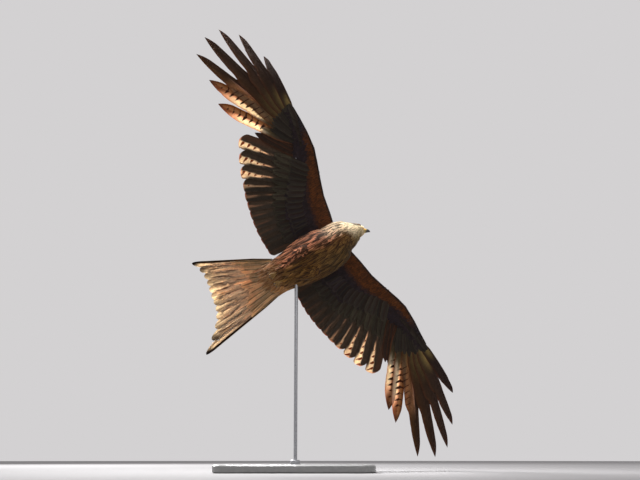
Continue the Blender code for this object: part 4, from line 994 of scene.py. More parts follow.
def body_looks(points, back):
    """Pattern and colours by place: cream streaked head, which runs on as cream streaks over the nape and
    right shoulder, with a dark patch through the eye that is partly the dark feathers there and partly
    painted shadow under the brow; an olive throat and left breast that are painted shade; a brown breast and
    belly with dark streaks, darkened as painted shade; a flank with pinkish buff edges on the right that are
    painted sun highlights; a rufous-edged back, and a buff vent. Paler wisps run along the body where the
    sine of 34 times the angle round it, bent by two slower sines of the distance back, is high."""
    whole = np.ones(points.shape)
    luck = CHANCE.random(len(back))
    angle = np.arctan2(points[:, 2], points[:, 1])
    wisp = np.sin(34 * angle + 2.6 * np.sin(33 * back + 3 * angle) + 1.4 * np.sin(81 * back + 8 * angle))
    wisp = smooth(wisp + 0.5 * (luck - 0.5), -0.05, 0.6)
    dorsal = smooth(points[:, 2], -0.004, 0.030)
    # right weighs the right flank, which is turned up to the light: the pink wisps and stronger pale edges it
    # brings are painted sun highlights.
    right = smooth(-points[:, 1], 0.004, 0.052) * (1 - 0.7 * dorsal)
    # left weighs the left side, turned from the light: the olive it brings to the throat and neck is painted
    # shade.
    left = smooth(points[:, 1], -0.012, 0.016)
    head = 1 - smooth(back, 0.034 + 0.016 * right, 0.060 + 0.075 * right)
    head = head * (1 - 0.7 * (1 - wisp) * smooth(back + 0.012 * (luck - 0.5), 0.034, 0.066))
    vent = smooth(back, 0.250, 0.335)
    belly = smooth(back, 0.120, 0.200)
    # The left breast turns olive: painted shade.
    under = mixed(SHADED_BREAST_BROWN * whole, SHADED_BREAST_OLIVE, smooth(points[:, 1], -0.030, 0.030))
    under = mixed(mixed(under, SHADED_BELLY_BROWN, belly), CHESTNUT_SHADE, 0.9 * right)
    under = mixed(under, BUFF_OLIVE, wisp * (0.26 - 0.1 * right) * (1 - dorsal))
    # Pink wisps on the right flank: painted sun highlights.
    under = mixed(under, FLANK_HIGHLIGHT_PINK, 0.80 * wisp * smooth(right, 0.1, 0.8) * (1 - 0.5 * vent))
    under = mixed(under, BUFF_BROWN, vent * (0.55 + 0.4 * luck))
    over = mixed(CHESTNUT_DARK * whole, RUFOUS_BACK, 0.4 + 0.6 * vent)
    throat = mixed(HEAD_CREAM * whole, SHADED_THROAT_OLIVE, 0.9 * left * smooth(back, 0.002, 0.018))
    throat = mixed(throat, SHADED_BREAST_OLIVE, 0.6 * left * smooth(back, 0.030, 0.060))
    ground = mixed(mixed(under, over, dorsal), throat, head)
    # The dark patch round each eye is partly the dark feathers there and partly painted shadow under the
    # brow.
    local = in_head(points)
    patch = np.zeros(len(back))
    for side in (1, -1):
        off = local - eye_place(side)
        reach = ((off[:, 0] + 0.0030) / 0.0135) ** 2 + (off[:, 2] / 0.0068) ** 2 + (off[:, 1] / 0.012) ** 2
        patch = np.maximum(patch, 1 - smooth(reach, 0.75, 1.15))
    ground = mixed(ground, STREAK_DARK, patch)
    mark = mixed(STREAK_DARK * whole, CHESTNUT_DARK, np.maximum(0.7 * vent, 0.5 * head))
    # On the right the fringes turn pink: painted sun highlights.
    fringe = mixed(mixed(under * 1.5, FLANK_HIGHLIGHT_PINK, right * (0.08 + 0.85 * wisp)), RUFOUS, dorsal)
    fringe = mixed(mixed(fringe, CREAM, 0.6 * vent), throat * 1.15, head)
    fringe = mixed(fringe, STREAK_DARK, patch)
    # Stronger pale edges on the right flank: painted sun highlights.
    edging = (0.45 + 0.55 * right * (1 - head)) * (0.6 + 0.4 * luck)
    streak = 1.0 - 0.5 * vent - head * (0.25 + 0.65 * (1 - smooth(back, 0.012, 0.030)))
    streak = np.clip(streak - 0.45 * wisp * (1 - dorsal), 0.05, 1)
    return np.column_stack([np.zeros(len(back)), streak, edging]), ground, mark, fringe


def eye_place(side):
    """The eye's centre in the head's frame."""
    return np.array([EYE_FORWARD, side * EYE_SIDE, EYE_UP])


def clear_of_face(points):
    """Roots that don't sit on an eye or in front of the face's flat."""
    local = in_head(points)
    keep = local[:, 0] < FACE_FORWARD + 0.004
    for side in (1, -1):
        off = local - eye_place(side)
        beside = off - (off @ eye_axis(side))[:, None] * eye_axis(side)
        keep &= (np.linalg.norm(beside, axis=1) > 0.0070) | (side * local[:, 1] < 0)
    return keep


def brow_over(points):
    """How much a root belongs to the brow: a bell over a short level ridge above each eye."""
    local = in_head(points)
    brow = np.zeros(len(points))
    for side in (1, -1):
        off = local - eye_place(side) - np.array([0.0005, 0, 0.0088])
        near = (off[:, 0] / 0.0075) ** 2 + (off[:, 2] / 0.0026) ** 2 + (off[:, 1] / 0.010) ** 2
        brow = np.maximum(brow, np.exp(-near))
    return brow


def face_point(forward, side, height):
    """The point of the head's surface on one side whose place forward and height come nearest to those
    given, by the least sum of squares over a fine grid."""
    t, angle = np.meshgrid(np.linspace(10, 15.8, 240), np.linspace(0, 2 * math.pi, 360), indexing="ij")
    local = in_head(body_surface(t, angle, -0.0013)).reshape(-1, 3)
    far = (local[:, 0] - forward) ** 2 + (local[:, 2] - height) ** 2 + 1.0 * (side * local[:, 1] < 0)
    return local[np.argmin(far)]


def body_unwrap(back, angle):
    """The roots' places on the bake map: once round the body across it and 0.40 m back up it."""
    return np.mod(angle / (2 * math.pi), 1) * 0.98 + 0.01, 0.01 + 0.98 * back / 0.40


def body_feathers(name, first, last, gap_back, gap_side, length, half, rise):
    """A length of the body covered in small feathers. Gaps and sizes follow the distance back."""
    plumage = Plumage()
    back, angle = body_rows(first, last, gap_back, gap_side)
    points = body_back(back, angle, -COAT)
    keep = clear_of_face(points)
    back, angle, points = back[keep], angle[keep], points[keep]
    unwrap = body_unwrap(back, angle)
    depth = COAT - 0.0020 * brow_over(points)
    tufts(plumage, body_back, body_radius, back, angle, (length(back), half(back)),
          body_looks(points, back), unwrap,
          depth, rise)
    return plumage.build(name)


def vent_feathers():
    """Long soft feathers from the belly's rear over the closed feet."""
    plumage = Plumage()
    back, angle = body_rows(0.256, 0.345, lambda b: 0.009, lambda b: 0.009)
    below = np.mod(angle + math.pi / 2 + math.pi, 2 * math.pi) - math.pi
    keep = np.abs(below) < 0.95
    back, angle = back[keep], angle[keep]
    points = body_back(back, angle, 0)
    unwrap = body_unwrap(back, angle)
    tufts(plumage, body_back, body_radius, back, angle, (0.055, 0.0070), body_looks(points, back), unwrap,
          -0.004, 0.20)
    return plumage.build("vent_feathers")


def by_back(*pairs):
    """A size that follows the distance back from the face, straight between the pairs given."""
    table = np.array(pairs)
    return lambda back: np.interp(back, table[:, 0], table[:, 1])


def wing_looks(face, behind, span, reach):
    """Lesser coverts by place. Below: rufous-brown, darkened as painted shade, along the leading edge with a
    dark rim, then purple-black. Above: rufous-edged brown, paler towards the rear of the arm."""
    whole = np.ones((len(behind), 3))
    if face < 0:
        share = np.maximum(smooth(behind / reach, 0.26, 0.42), smooth(span, 0.36, 0.43))
        rim = 1 - smooth(behind, 0.002, 0.005)
        ground = mixed(mixed(SHADED_LEAD_BROWN * whole, STREAK_DARK, rim), PURPLE_BLACK, share)
        ground = ground * CHANCE.uniform(0.7, 1.35, (len(behind), 1))
        pattern = np.array([0.0, 0.5, 0.35]) * whole
        return pattern, ground, STREAK_DARK * whole, ground * 1.5
    share = smooth(behind / reach, 0.55, 0.95) * (1 - smooth(span, 0.30, 0.40))
    ground = mixed(CHESTNUT_DARK * whole, COVERT_BAND, 0.6 * share)
    return np.array([0.0, 0.8, 0.85]) * whole, ground, STREAK_DARK * whole, RUFOUS_BACK * whole


def lesser_coverts(side_name):
    """Small feathers over the arm and hand, above and below, from the nose of the wing back."""
    plumage = Plumage()
    for face, least in ((1, LEAST_ABOVE), (-1, LEAST_BELOW)):
        behinds, spans = [], []
        for row, span in enumerate(np.arange(0.050, 0.505, 0.0075)):
            reach = flesh_chord(span)
            rows = np.arange(0.0040, reach * 0.97, 0.0080) + 0.004 * (row % 2)
            behinds.append(rows + CHANCE.normal(0, 0.0015, len(rows)))
            spans.append(span + CHANCE.normal(0, 0.0015, len(rows)))
        nose = np.arange(0.050, 0.500, 0.0030)
        behinds.append(np.full(len(nose), 0.0003))
        spans.append(nose)
        behind, span = np.abs(np.concatenate(behinds)), np.concatenate(spans)
        reach = flesh_chord(span)
        looks = wing_looks(face, behind, span, reach)
        unwrap = 0.02 + 0.95 * span / 0.52, 0.25 + 0.25 * face + 0.24 + behind
        length = np.interp(behind, (0, 0.03, 0.1), (0.011, 0.020, 0.028)) * (1 - 0.35 * smooth(span, 0.34,
                                                                                               0.42))
        size = (length, length * 0.36)
        tufts(plumage, wing_skin(side_name, face, least), lambda a, b: np.ones_like(a), behind, span, size,
              looks,
              unwrap, WING_COAT, 0.04, 3.0)
    return plumage.build(f"lesser_coverts_{side_name}")


# Materials.
class Nodes:
    """Short words for adding shader nodes to one material."""

    def __init__(self, name):
        self.material = bpy.data.materials.new(name)
        self.material.use_nodes = True
        self.tree = self.material.node_tree
        self.shader = self.tree.nodes["Principled BSDF"]
        self.output = self.tree.nodes["Material Output"]

    def link(self, value, socket):
        """Joins an output to the socket, or sets the socket's own value."""
        if isinstance(value, bpy.types.NodeSocket):
            self.tree.links.new(value, socket)
        else:
            socket.default_value = value

    def node(self, kind, **settings):
        """A new node with these settings."""
        made = self.tree.nodes.new(kind)
        for key, value in settings.items():
            setattr(made, key, value)
        return made

    def math(self, operation, *values):
        """The result of one operation on numbers."""
        made = self.node("ShaderNodeMath", operation=operation)
        for value, socket in zip(values, made.inputs):
            self.link(value, socket)
        return made.outputs[0]

    def between(self, value, low, high):
        """0 below low and 1 above high, smoothly."""
        made = self.node("ShaderNodeMapRange", interpolation_type="SMOOTHSTEP")
        self.link(value, made.inputs["Value"])
        self.link(low, made.inputs["From Min"])
        self.link(high, made.inputs["From Max"])
        return made.outputs["Result"]

    def mix(self, share, one, other, blend="MIX"):
        """One colour turned towards the other by share, or blended with it."""
        made = self.node("ShaderNodeMix", data_type="RGBA", blend_type=blend)
        self.link(share, made.inputs["Factor"])
        for value, socket in ((one, made.inputs["A"]), (other, made.inputs["B"])):
            self.link((*value, 1) if isinstance(value, (tuple, np.ndarray)) else value, socket)
        return made.outputs["Result"]

    def attribute(self, name):
        """The node that reads one of the piece's attributes."""
        return self.node("ShaderNodeAttribute", attribute_name=name)

    def parts(self, vector):
        """A vector's three numbers."""
        made = self.node("ShaderNodeSeparateXYZ")
        self.link(vector, made.inputs[0])
        return made.outputs

    def vector(self, x, y, z):
        """Three numbers as a vector."""
        made = self.node("ShaderNodeCombineXYZ")
        for value, socket in zip((x, y, z), made.inputs):
            self.link(value, socket)
        return made.outputs[0]

    def noise(self, place, scale, detail):
        """Cloudy noise between 0 and 1."""
        made = self.node("ShaderNodeTexNoise")
        self.link(place, made.inputs["Vector"])
        made.inputs["Scale"].default_value = scale
        made.inputs["Detail"].default_value = detail
        made.inputs["Roughness"].default_value = 0.55
        return made.outputs["Fac"]

    def bump(self, height, strength, distance):
        """Raises the surface by height and gives the normal that this makes."""
        made = self.node("ShaderNodeBump")
        made.inputs["Strength"].default_value = strength
        made.inputs["Distance"].default_value = distance
        self.link(height, made.inputs["Height"])
        self.tree.links.new(made.outputs["Normal"], self.shader.inputs["Normal"])
        return made.outputs["Normal"]

    def place(self):
        """The point's place in the piece's own coordinates."""
        return self.node("ShaderNodeTexCoord").outputs["Object"]


def plumage_material(name, glow, bar_gap=0.021, barb_gap=0.0011, barb_height=0.5, streak_width=0.30,
                     grain=0.0, grain_scale=420.0, tip_edge=0.86, spread_of_tones=0.35):
    """Feather finish. Dark bars cross the vane every bar_gap, as wide as the pattern's first number says; a
    streak follows the shaft, grain adds long fine streaks, the edge is paler, barbs run slanting off the
    shaft every barb_gap as bump of barb_height, and the share glow of the light that isn't thrown back passes
    through."""
    nodes = Nodes(name)
    across, along, luck = nodes.parts(nodes.attribute("vane").outputs["Vector"])
    wide, far, _ = nodes.parts(nodes.attribute("metres").outputs["Vector"])
    bars, streak, edging = nodes.parts(nodes.attribute("pattern").outputs["Vector"])
    ground, mark, fringe = (nodes.attribute(label).outputs["Color"] for label in ("ground", "mark", "fringe"))
    side = nodes.math("ABSOLUTE", across)
    spread = nodes.math("ABSOLUTE", wide)
    barb = nodes.math("SUBTRACT", far, nodes.math("MULTIPLY", spread, 0.35))
    shift = nodes.math("MULTIPLY", luck, 40.0)
    cloud = nodes.noise(nodes.vector(wide, far, shift), 90.0, 4.0)
    fibre = nodes.noise(nodes.vector(nodes.math("MULTIPLY", barb, 14.0), spread, shift), 60.0, 2.0)
    wobble = nodes.math("MULTIPLY", nodes.math("SUBTRACT", cloud, 0.5), 2.2)
    wave = nodes.math("SINE", nodes.math("ADD", nodes.math("MULTIPLY", barb, 2 * math.pi / bar_gap), wobble))
    bar = nodes.between(nodes.math("MULTIPLY_ADD", bars, 2.0, wave), 1.5, 1.9)
    colour = nodes.mix(bar, ground, mark)
    limit = nodes.math("MULTIPLY", nodes.math("SUBTRACT", 1.4, along), streak_width)
    core = nodes.math("SUBTRACT", 1.0, nodes.between(nodes.math("SUBTRACT", side, limit), -0.08, 0.12))
    colour = nodes.mix(nodes.math("MULTIPLY", core, streak), colour, mark)
    if grain:
        wisps = nodes.noise(nodes.vector(wide, nodes.math("MULTIPLY", far, 0.06), shift), grain_scale, 3.0)
        colour = nodes.mix(nodes.math("MULTIPLY", nodes.between(wisps, 0.48, 0.66), grain), colour, mark)
    rim = nodes.math("MAXIMUM", nodes.between(side, 0.62, 1.0), nodes.between(along, tip_edge, 1.0))
    colour = nodes.mix(nodes.math("MULTIPLY", rim, edging), colour, fringe)
    shade = nodes.math("MULTIPLY_ADD", nodes.math("ADD", cloud, fibre), 0.55, 0.45)
    shade = nodes.math("MULTIPLY", shade, nodes.math("MULTIPLY_ADD", luck, spread_of_tones,
                                                     1 - spread_of_tones / 2))
    colour = nodes.mix(1.0, colour, nodes.vector(shade, shade, shade), "MULTIPLY")
    nodes.link(colour, nodes.shader.inputs["Base Color"])
    nodes.link(nodes.math("MULTIPLY_ADD", fibre, 0.3, 0.47), nodes.shader.inputs["Roughness"])
    nodes.shader.inputs["Sheen Weight"].default_value = 0.05
    nodes.shader.inputs["Sheen Roughness"].default_value = 0.4
    nodes.shader.inputs["Specular IOR Level"].default_value = 0.14
    ridges = nodes.math("SINE", nodes.math("MULTIPLY", barb, 2 * math.pi / barb_gap))
    normal = nodes.bump(nodes.math("MULTIPLY_ADD", ridges, barb_height, fibre), 0.45, 0.0004)
    through = nodes.node("ShaderNodeBsdfTranslucent")
    nodes.link(colour, through.inputs["Color"])
    nodes.link(normal, through.inputs["Normal"])
    both = nodes.node("ShaderNodeMixShader")
    both.inputs["Fac"].default_value = glow
    nodes.link(nodes.shader.outputs["BSDF"], both.inputs[1])
    nodes.link(through.outputs["BSDF"], both.inputs[2])
    nodes.link(both.outputs["Shader"], nodes.output.inputs["Surface"])
    return nodes.material


def plain_material(name, colour, dark, roughness, scale, bump, distance=0.0005, coat=0.0, metallic=0.0):
    """Two close colours in a fine cloud, with the same cloud in the roughness and the bump."""
    nodes = Nodes(name)
    cloud = nodes.noise(nodes.place(), scale, 5.0)
    nodes.link(nodes.mix(nodes.between(cloud, 0.35, 0.7), dark, colour), nodes.shader.inputs["Base Color"])
    nodes.link(nodes.math("MULTIPLY_ADD", cloud, 0.2, roughness - 0.1), nodes.shader.inputs["Roughness"])
    nodes.shader.inputs["Coat Weight"].default_value = coat
    nodes.shader.inputs["Metallic"].default_value = metallic
    nodes.bump(cloud, bump, distance)
    return nodes.material


def skin_finish():
    """The coat's colours by place in a fine cloud of light and dark, with the same cloud in roughness and
    bump."""
    nodes = Nodes("skin_under_plumage")
    cloud = nodes.noise(nodes.place(), 120.0, 5.0)
    shade = nodes.math("MULTIPLY_ADD", cloud, 0.6, 0.5)
    ground = nodes.attribute("ground").outputs["Color"]
    colour = nodes.mix(1.0, ground, nodes.vector(shade, shade, shade), "MULTIPLY")
    nodes.link(colour, nodes.shader.inputs["Base Color"])
    nodes.link(nodes.math("MULTIPLY_ADD", cloud, 0.2, 0.7), nodes.shader.inputs["Roughness"])
    nodes.bump(cloud, 0.3, 0.0005)
    return nodes.material


def horn_finish():
    """Pale yellowish horn at the base that darkens to blue-black at the tip, with a fine cloud and fine
    bump."""
    nodes = Nodes("bill_horn")
    cloud = nodes.noise(nodes.place(), 160.0, 5.0)
    base = nodes.mix(cloud, tone(206, 178, 96), tone(150, 132, 84))
    tip = nodes.mix(cloud, tone(20, 19, 22), tone(44, 42, 46))
    nodes.link(nodes.mix(nodes.attribute("dark").outputs["Fac"], base, tip),
               nodes.shader.inputs["Base Color"])
    nodes.link(nodes.math("MULTIPLY_ADD", cloud, 0.2, 0.24), nodes.shader.inputs["Roughness"])
    nodes.shader.inputs["Coat Weight"].default_value = 0.25
    nodes.bump(cloud, 0.12, 0.0002)
    return nodes.material


def dress(made, material, slot, *nodes):
    """Gives a piece its material and its body, and hides the CAD nodes that it stands for. slot is not used.
    """
    made.data.materials.clear()
    made.data.materials.append(material)
    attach(made, "root")
    if nodes:
        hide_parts(*nodes)
    return made


# Skin.
def wing_flesh(side_name, depth):
    """The feathered arm and hand under the coat: wing sections from nose to rear at even spans, thinner by
    depth."""
    share = np.linspace(0, 1, 16) ** 1.6
    rings = []
    for span in np.linspace(WING_ROOT, HAND_END, 34):
        front, rear = plan(LEADING_EDGE, span) - depth, plan(FLESH_REAR, span) + depth
        half = np.maximum(plan(FLESH_HALF, span) * section(share) - depth, 0.0006 * (share > 0))
        forward = front + (rear - front) * share
        top = wing_point(side_name, span, forward, camber(span, forward) + half)
        bottom = wing_point(side_name, span, forward, camber(span, forward) - half * LOWER_SHARE)
        rings.append(np.concatenate([top, bottom[:0:-1]]))
    return np.array(rings)


def tube_rings(path, radii, sides):
    """Rings round a path, each square to it."""
    path, radii = np.asarray(path, float), np.asarray(radii, float)
    along = unit(np.gradient(path, axis=0))
    side = unit(np.cross(along, [0.0, 0.0, 1.0]))
    up = np.cross(side, along)
    angle = np.arange(sides) * 2 * math.pi / sides
    ring = np.cos(angle)[None, :, None] * side[:, None] + np.sin(angle)[None, :, None] * up[:, None]
    return path[:, None] + radii[:, None, None] * ring


def fine_path(points, radii, count):
    """A path of few points and their radii, made finer on a Catmull-Rom curve."""
    table = np.column_stack([np.array(points, float), radii])
    rows = smooth_rows(table, np.linspace(0, len(table) - 1, count))
    return rows[:, :3], rows[:, 3]


THIGH_PATH = [(-0.105, 0.040, -0.040), (-0.130, 0.040, -0.046), (-0.160, 0.036, -0.047),
              (-0.190, 0.030, -0.043)]
THIGH_PATH += [(-0.212, 0.024, -0.038)]
THIGH_RADII = [0.008, 0.021, 0.024, 0.017, 0.0085]


def thigh_surface(side):
    """A thigh by distance back along its path and angle round it, grown by grow: its centre plus the radius
    times the cosine sideways and the sine upwards."""
    path, radii = fine_path(np.array(THIGH_PATH) * (1, side, 1), THIGH_RADII, 60)
    run = np.concatenate([[0], np.cumsum(np.linalg.norm(np.diff(path, axis=0), axis=1))])

    def surface(back, angle, grow):
        back, angle, grow = np.broadcast_arrays(back, angle, grow)
        centre = np.stack([np.interp(back, run, path[:, k]) for k in range(3)], -1)
        centre[..., 0] -= np.maximum(back - run[-1], 0)
        radius = np.interp(back, run, radii) + grow
        return centre + radius[..., None] * np.stack([0 * angle, np.cos(angle), np.sin(angle)], -1)

    return surface, lambda back, angle: np.interp(back, run, radii)


def thigh_feathers(side_name):
    """The long soft feathers of a thigh, which reach back over the foot."""
    side = SIDES[side_name][0]
    surface, metric = thigh_surface(side)
    back, turn = np.meshgrid(np.arange(0.002, 0.118, 0.0080), np.arange(16) / 16, indexing="ij")
    turn = turn + 0.5 / 16 * (np.arange(back.shape[0])[:, None] % 2)
    back = (back + CHANCE.normal(0, 0.002, back.shape)).ravel().clip(0)
    angle = 2 * math.pi * (turn + CHANCE.normal(0, 0.01, turn.shape)).ravel()
    points = surface(back, angle, -COAT)
    pattern, ground, mark, fringe = body_looks(points, np.full(len(back), 0.215) + back * 0.4)
    plumage = Plumage()
    unwrap = 0.05 + 0.4 * np.mod(angle / (2 * math.pi), 1) + 0.5 * (side > 0), 0.05 + 0.9 * back / 0.12
    size = (np.interp(back, (0, 0.1), (0.026, 0.040)), np.interp(back, (0, 0.1), (0.0075, 0.0065)))
    tufts(plumage, surface, metric, back, angle, size, (pattern, ground, mark, fringe), unwrap, COAT, 0.10)
    return plumage.build(f"thigh_feathers_{side_name}")


def skin_looks(points):
    """The coat's own colours by place. On the wings they are those of the nearest of a grid of places on
    the lesser coverts' surface, elsewhere the body's, by the distance back of the centre line's nearest
    part."""
    centre = smooth_rows(BODY_STATIONS, STATION_GRID)[:, 0]
    ground = body_looks(points, np.interp(points[:, 0], centre, BACK_GRID))[1]
    span, share = (g.ravel() for g in np.meshgrid(np.linspace(0.05, 0.50, 60), np.linspace(0, 1, 24),
                                                  indexing="ij"))
    reach = flesh_chord(span)
    for side_name, values in SIDES.items():
        places = np.concatenate([wing_skin(side_name, f, 0.0071)(share * reach, span,
                                                                 -WING_COAT) for f in (1, -1)])
        colours = np.concatenate([wing_looks(f, share * reach, span, reach)[1] for f in (1, -1)])
        beyond = np.flatnonzero(values[0] * points[:, 1] > 0.055)
        for part in np.array_split(beyond, 1 + len(beyond) // 4000):
            gap = (places**2).sum(axis=1) - 2 * points[part] @ places.T
            ground[part] = colours[np.argmin(gap, axis=1)]
    return ground


def build_skin():
    """One skin: the body, both wings' flesh, the thighs and the tail's root, remeshed into a single surface
    that carries the coat's markings."""
    t = np.linspace(0, len(BODY_STATIONS) - 2.3, 90)[:, None]
    angle = (np.arange(64) * 2 * math.pi / 64)[None]
    shells = [body_surface(t, angle, -SKIN_DEPTH)]
    for side_name, values in SIDES.items():
        shells.append(wing_flesh(side_name, WING_SKIN_DEPTH))
        path, radii = fine_path(np.array(THIGH_PATH) * (1, values[0], 1),
                                np.array(THIGH_RADII) - SKIN_DEPTH, 24)
        shells.append(tube_rings(path, radii, 24))
    back = np.linspace(0, 0.075, 16)[:, None]
    around = (np.arange(32) * 2 * math.pi / 32)[None]
    thin = 0.0024 + 0.0125 * (1 - back / 0.075) ** 1.5
    shells.append(tail_place((TAIL_QUILL_SPREAD + 0.18 * back) * np.cos(around), back - 0.012,
                             thin * np.sin(around)))
    lofts = [lofted("loft", shell) for shell in shells]
    bpy.ops.object.select_all(action="DESELECT")
    for loft in lofts:
        loft.select_set(True)
    bpy.context.view_layer.objects.active = lofts[0]
    bpy.ops.object.join()
    skin = bpy.context.view_layer.objects.active
    skin.name = skin.data.name = "skin"
    remesh = skin.modifiers.new("whole", "REMESH")
    remesh.mode = "VOXEL"
    remesh.voxel_size = 0.0022
    graph = bpy.context.evaluated_depsgraph_get()
    mesh = bpy.data.meshes.new_from_object(skin.evaluated_get(graph))
    skin.modifiers.clear()
    skin.data = mesh
    mesh.shade_smooth()
    spots = np.empty(len(mesh.vertices) * 3, np.float32)
    mesh.vertices.foreach_get("co", spots)
    give(skin, "ground", skin_looks((spots.reshape(-1, 3).astype(float) - POSE_ORIGIN) @ POSE_TURN))
    return skin


# Head features.
EYE_SIDES = 40
BILL_SIDES = 40


def turned_cap(name, centre, axis, radius, profile):
    """A surface turned round an axis in the head's frame: profile gives (distance out, height along the
    axis) in radii, from its pole to its far pole."""
    axis = unit(np.asarray(axis, float))
    side = unit(np.cross(axis, [0.0, 0.0, 1.0]))
    up = np.cross(side, axis)
    angle = np.arange(EYE_SIDES) * 2 * math.pi / EYE_SIDES
    out = np.array(profile)[:, 0][:, None, None] * radius
    high = np.array(profile)[:, 1][:, None, None] * radius
    ring = np.cos(angle)[None, :, None] * side + np.sin(angle)[None, :, None] * up
    return lofted(name, from_head(centre + out * ring + high * axis), sharp=60)


def eye_axis(side):
    """The way the eye looks: outwards, and a little forward and up."""
    return unit(np.array([0.30, side, 0.06]))


def build_eye(name, side, material):
    """The eyeball with a slightly bulging cornea: a sphere whose front cap reaches out a little more."""
    theta = np.linspace(0.02, math.pi - 0.02, 40)
    reach = 1 + 0.07 * np.exp(-((theta / 0.55) ** 2)) - 0.03
    profile = np.column_stack([np.sin(theta) * reach, np.cos(theta) * reach])
    eye = turned_cap(name, eye_place(side), eye_axis(side), EYE_RADIUS, profile)
    give(eye, "from_axis", np.repeat(theta, EYE_SIDES))
    return dress(eye, material, "eye", name)


def eye_material():
    """Black pupil, amber iris with fine spokes and a dark rim, under a clear wet coat."""
    nodes = Nodes("eye_amber")
    theta = nodes.attribute("from_axis").outputs["Fac"]
    spokes = nodes.noise(nodes.place(), 900.0, 3.0)
    iris = nodes.mix(spokes, tone(112, 70, 26), tone(176, 126, 58))
    colour = nodes.mix(nodes.between(theta, 0.30, 0.34), tone(8, 7, 7), iris)
    colour = nodes.mix(nodes.between(theta, 0.62, 0.72), colour, tone(30, 20, 14))
    nodes.link(colour, nodes.shader.inputs["Base Color"])
    nodes.shader.inputs["Roughness"].default_value = 0.12
    nodes.shader.inputs["Coat Weight"].default_value = 1.0
    nodes.shader.inputs["Coat Roughness"].default_value = 0.03
    return nodes.material


def build_lid(name, side, material):
    """The bare lids: a ring round the eye, thicker above, drawn to a point at front and rear."""
    axis = eye_axis(side)
    across = unit(np.cross(axis, [0.0, 0.0, 1.0]))
    up = np.cross(across, axis)
    steps, sides = 72, 14
    angle = np.arange(steps) * 2 * math.pi / steps
    opening = 0.0056 * (1 + 0.14 * np.abs(np.cos(angle)) ** 3)
    centre = eye_place(side) + axis * 0.0047
    path = centre + opening[:, None] * (np.cos(angle)[:, None] * across + 0.92 * np.sin(angle)[:, None] * up)
    radius = 0.0009 + 0.0005 * np.clip(np.sin(angle), 0, 1)
    turn = np.arange(sides) * 2 * math.pi / sides
    out = unit(path - centre)
    ring = np.cos(turn)[None, :, None] * out[:, None] + np.sin(turn)[None, :, None] * axis
    points = path[:, None] + radius[:, None, None] * ring
    step, edge = np.meshgrid(np.arange(steps), np.arange(sides), indexing="ij")
    step, edge = step.ravel(), edge.ravel()
    beside, here, there = (edge + 1) % sides, step * sides, (step + 1) % steps * sides
    quads = np.stack([here + edge, here + beside, there + beside, there + edge], 1)
    return dress(mesh_object(name, placed(from_head(points)), [quads]), material, "cere")


def bill_ring(forward, half, top, bottom, squarish=0.8):
    """A section of the bill in the head's frame: a rounded box between top and bottom, half wide on each
    side. Cosine and sine to the power squarish round it."""
    angle = np.arange(BILL_SIDES) * 2 * math.pi / BILL_SIDES
    across, up = (np.sign(wave) * np.abs(wave) ** squarish for wave in (np.cos(angle), np.sin(angle)))
    height = (top + bottom) / 2 + (top - bottom) / 2 * up
    return np.column_stack([np.full(BILL_SIDES, forward), half * across, height])


def cere_rings():
    """Rings of the cere, which tapers forward, with a bell-shaped dent on each side for the nostril."""
    start, mouth = FACE_FORWARD - 0.002, MOUTH_LEVEL
    cere = np.array([
        bill_ring(start + 0.0108 * u, 0.0108 - 0.0042 * u**0.8, 0.0098 - 0.0022 * u, mouth - 0.0004 * u)
        for u in np.linspace(0, 1, 22)
    ])
    for side in (1, -1):
        gone = cere - np.array([FACE_FORWARD + 0.0066, side * 0.0080, 0.0034])
        near = np.exp(-((gone[..., 0] / 0.0016) ** 2) - (gone[..., 2] / 0.0009) ** 2)
        cere[..., 1] -= side * 0.0022 * near * (np.sign(cere[..., 1]) == side)
    return cere


def upper_rings():
    """Rings of the upper mandible: its top falls with u^2.3 and its half width closes towards the hook."""
    rings = []
    for u in np.linspace(0, 1, 44):
        forward = FACE_FORWARD + CERE_LENGTH + (BILL_LENGTH - 0.004) * (1 - (1 - u) ** 1.5)
        top = 0.0075 - (BILL_DROP + 0.0074) * u**2.3
        bottom = MOUTH_LEVEL - 0.0005 - 0.0007 * math.sin(math.pi * min(u * 1.25, 1))
        bottom -= BILL_DROP * max(0, u - 0.62) ** 1.3 * 2.4
        bottom = min(bottom, top - 0.0005)
        rings.append(bill_ring(forward, 0.0067 * (1 - u) ** 0.62 + 0.0004, top, bottom, squarish=0.85))
    return np.array(rings)


def lower_rings():
    """Rings of the lower mandible, which gets narrower and shallower towards its tip under the hook."""
    rings, top = [], MOUTH_LEVEL - 0.0010
    for u in np.linspace(0, 1, 30):
        forward = FACE_FORWARD - 0.002 + (CERE_LENGTH + BILL_LENGTH * 0.60 + 0.002) * u
        half = 0.0070 * (1 - u) ** 0.75 + 0.0008
        bottom = top - 0.0034 * (1 - 0.75 * u**1.3)
        rings.append(bill_ring(forward, half, top - 0.0004 * u, bottom, squarish=0.9))
    return np.array(rings)


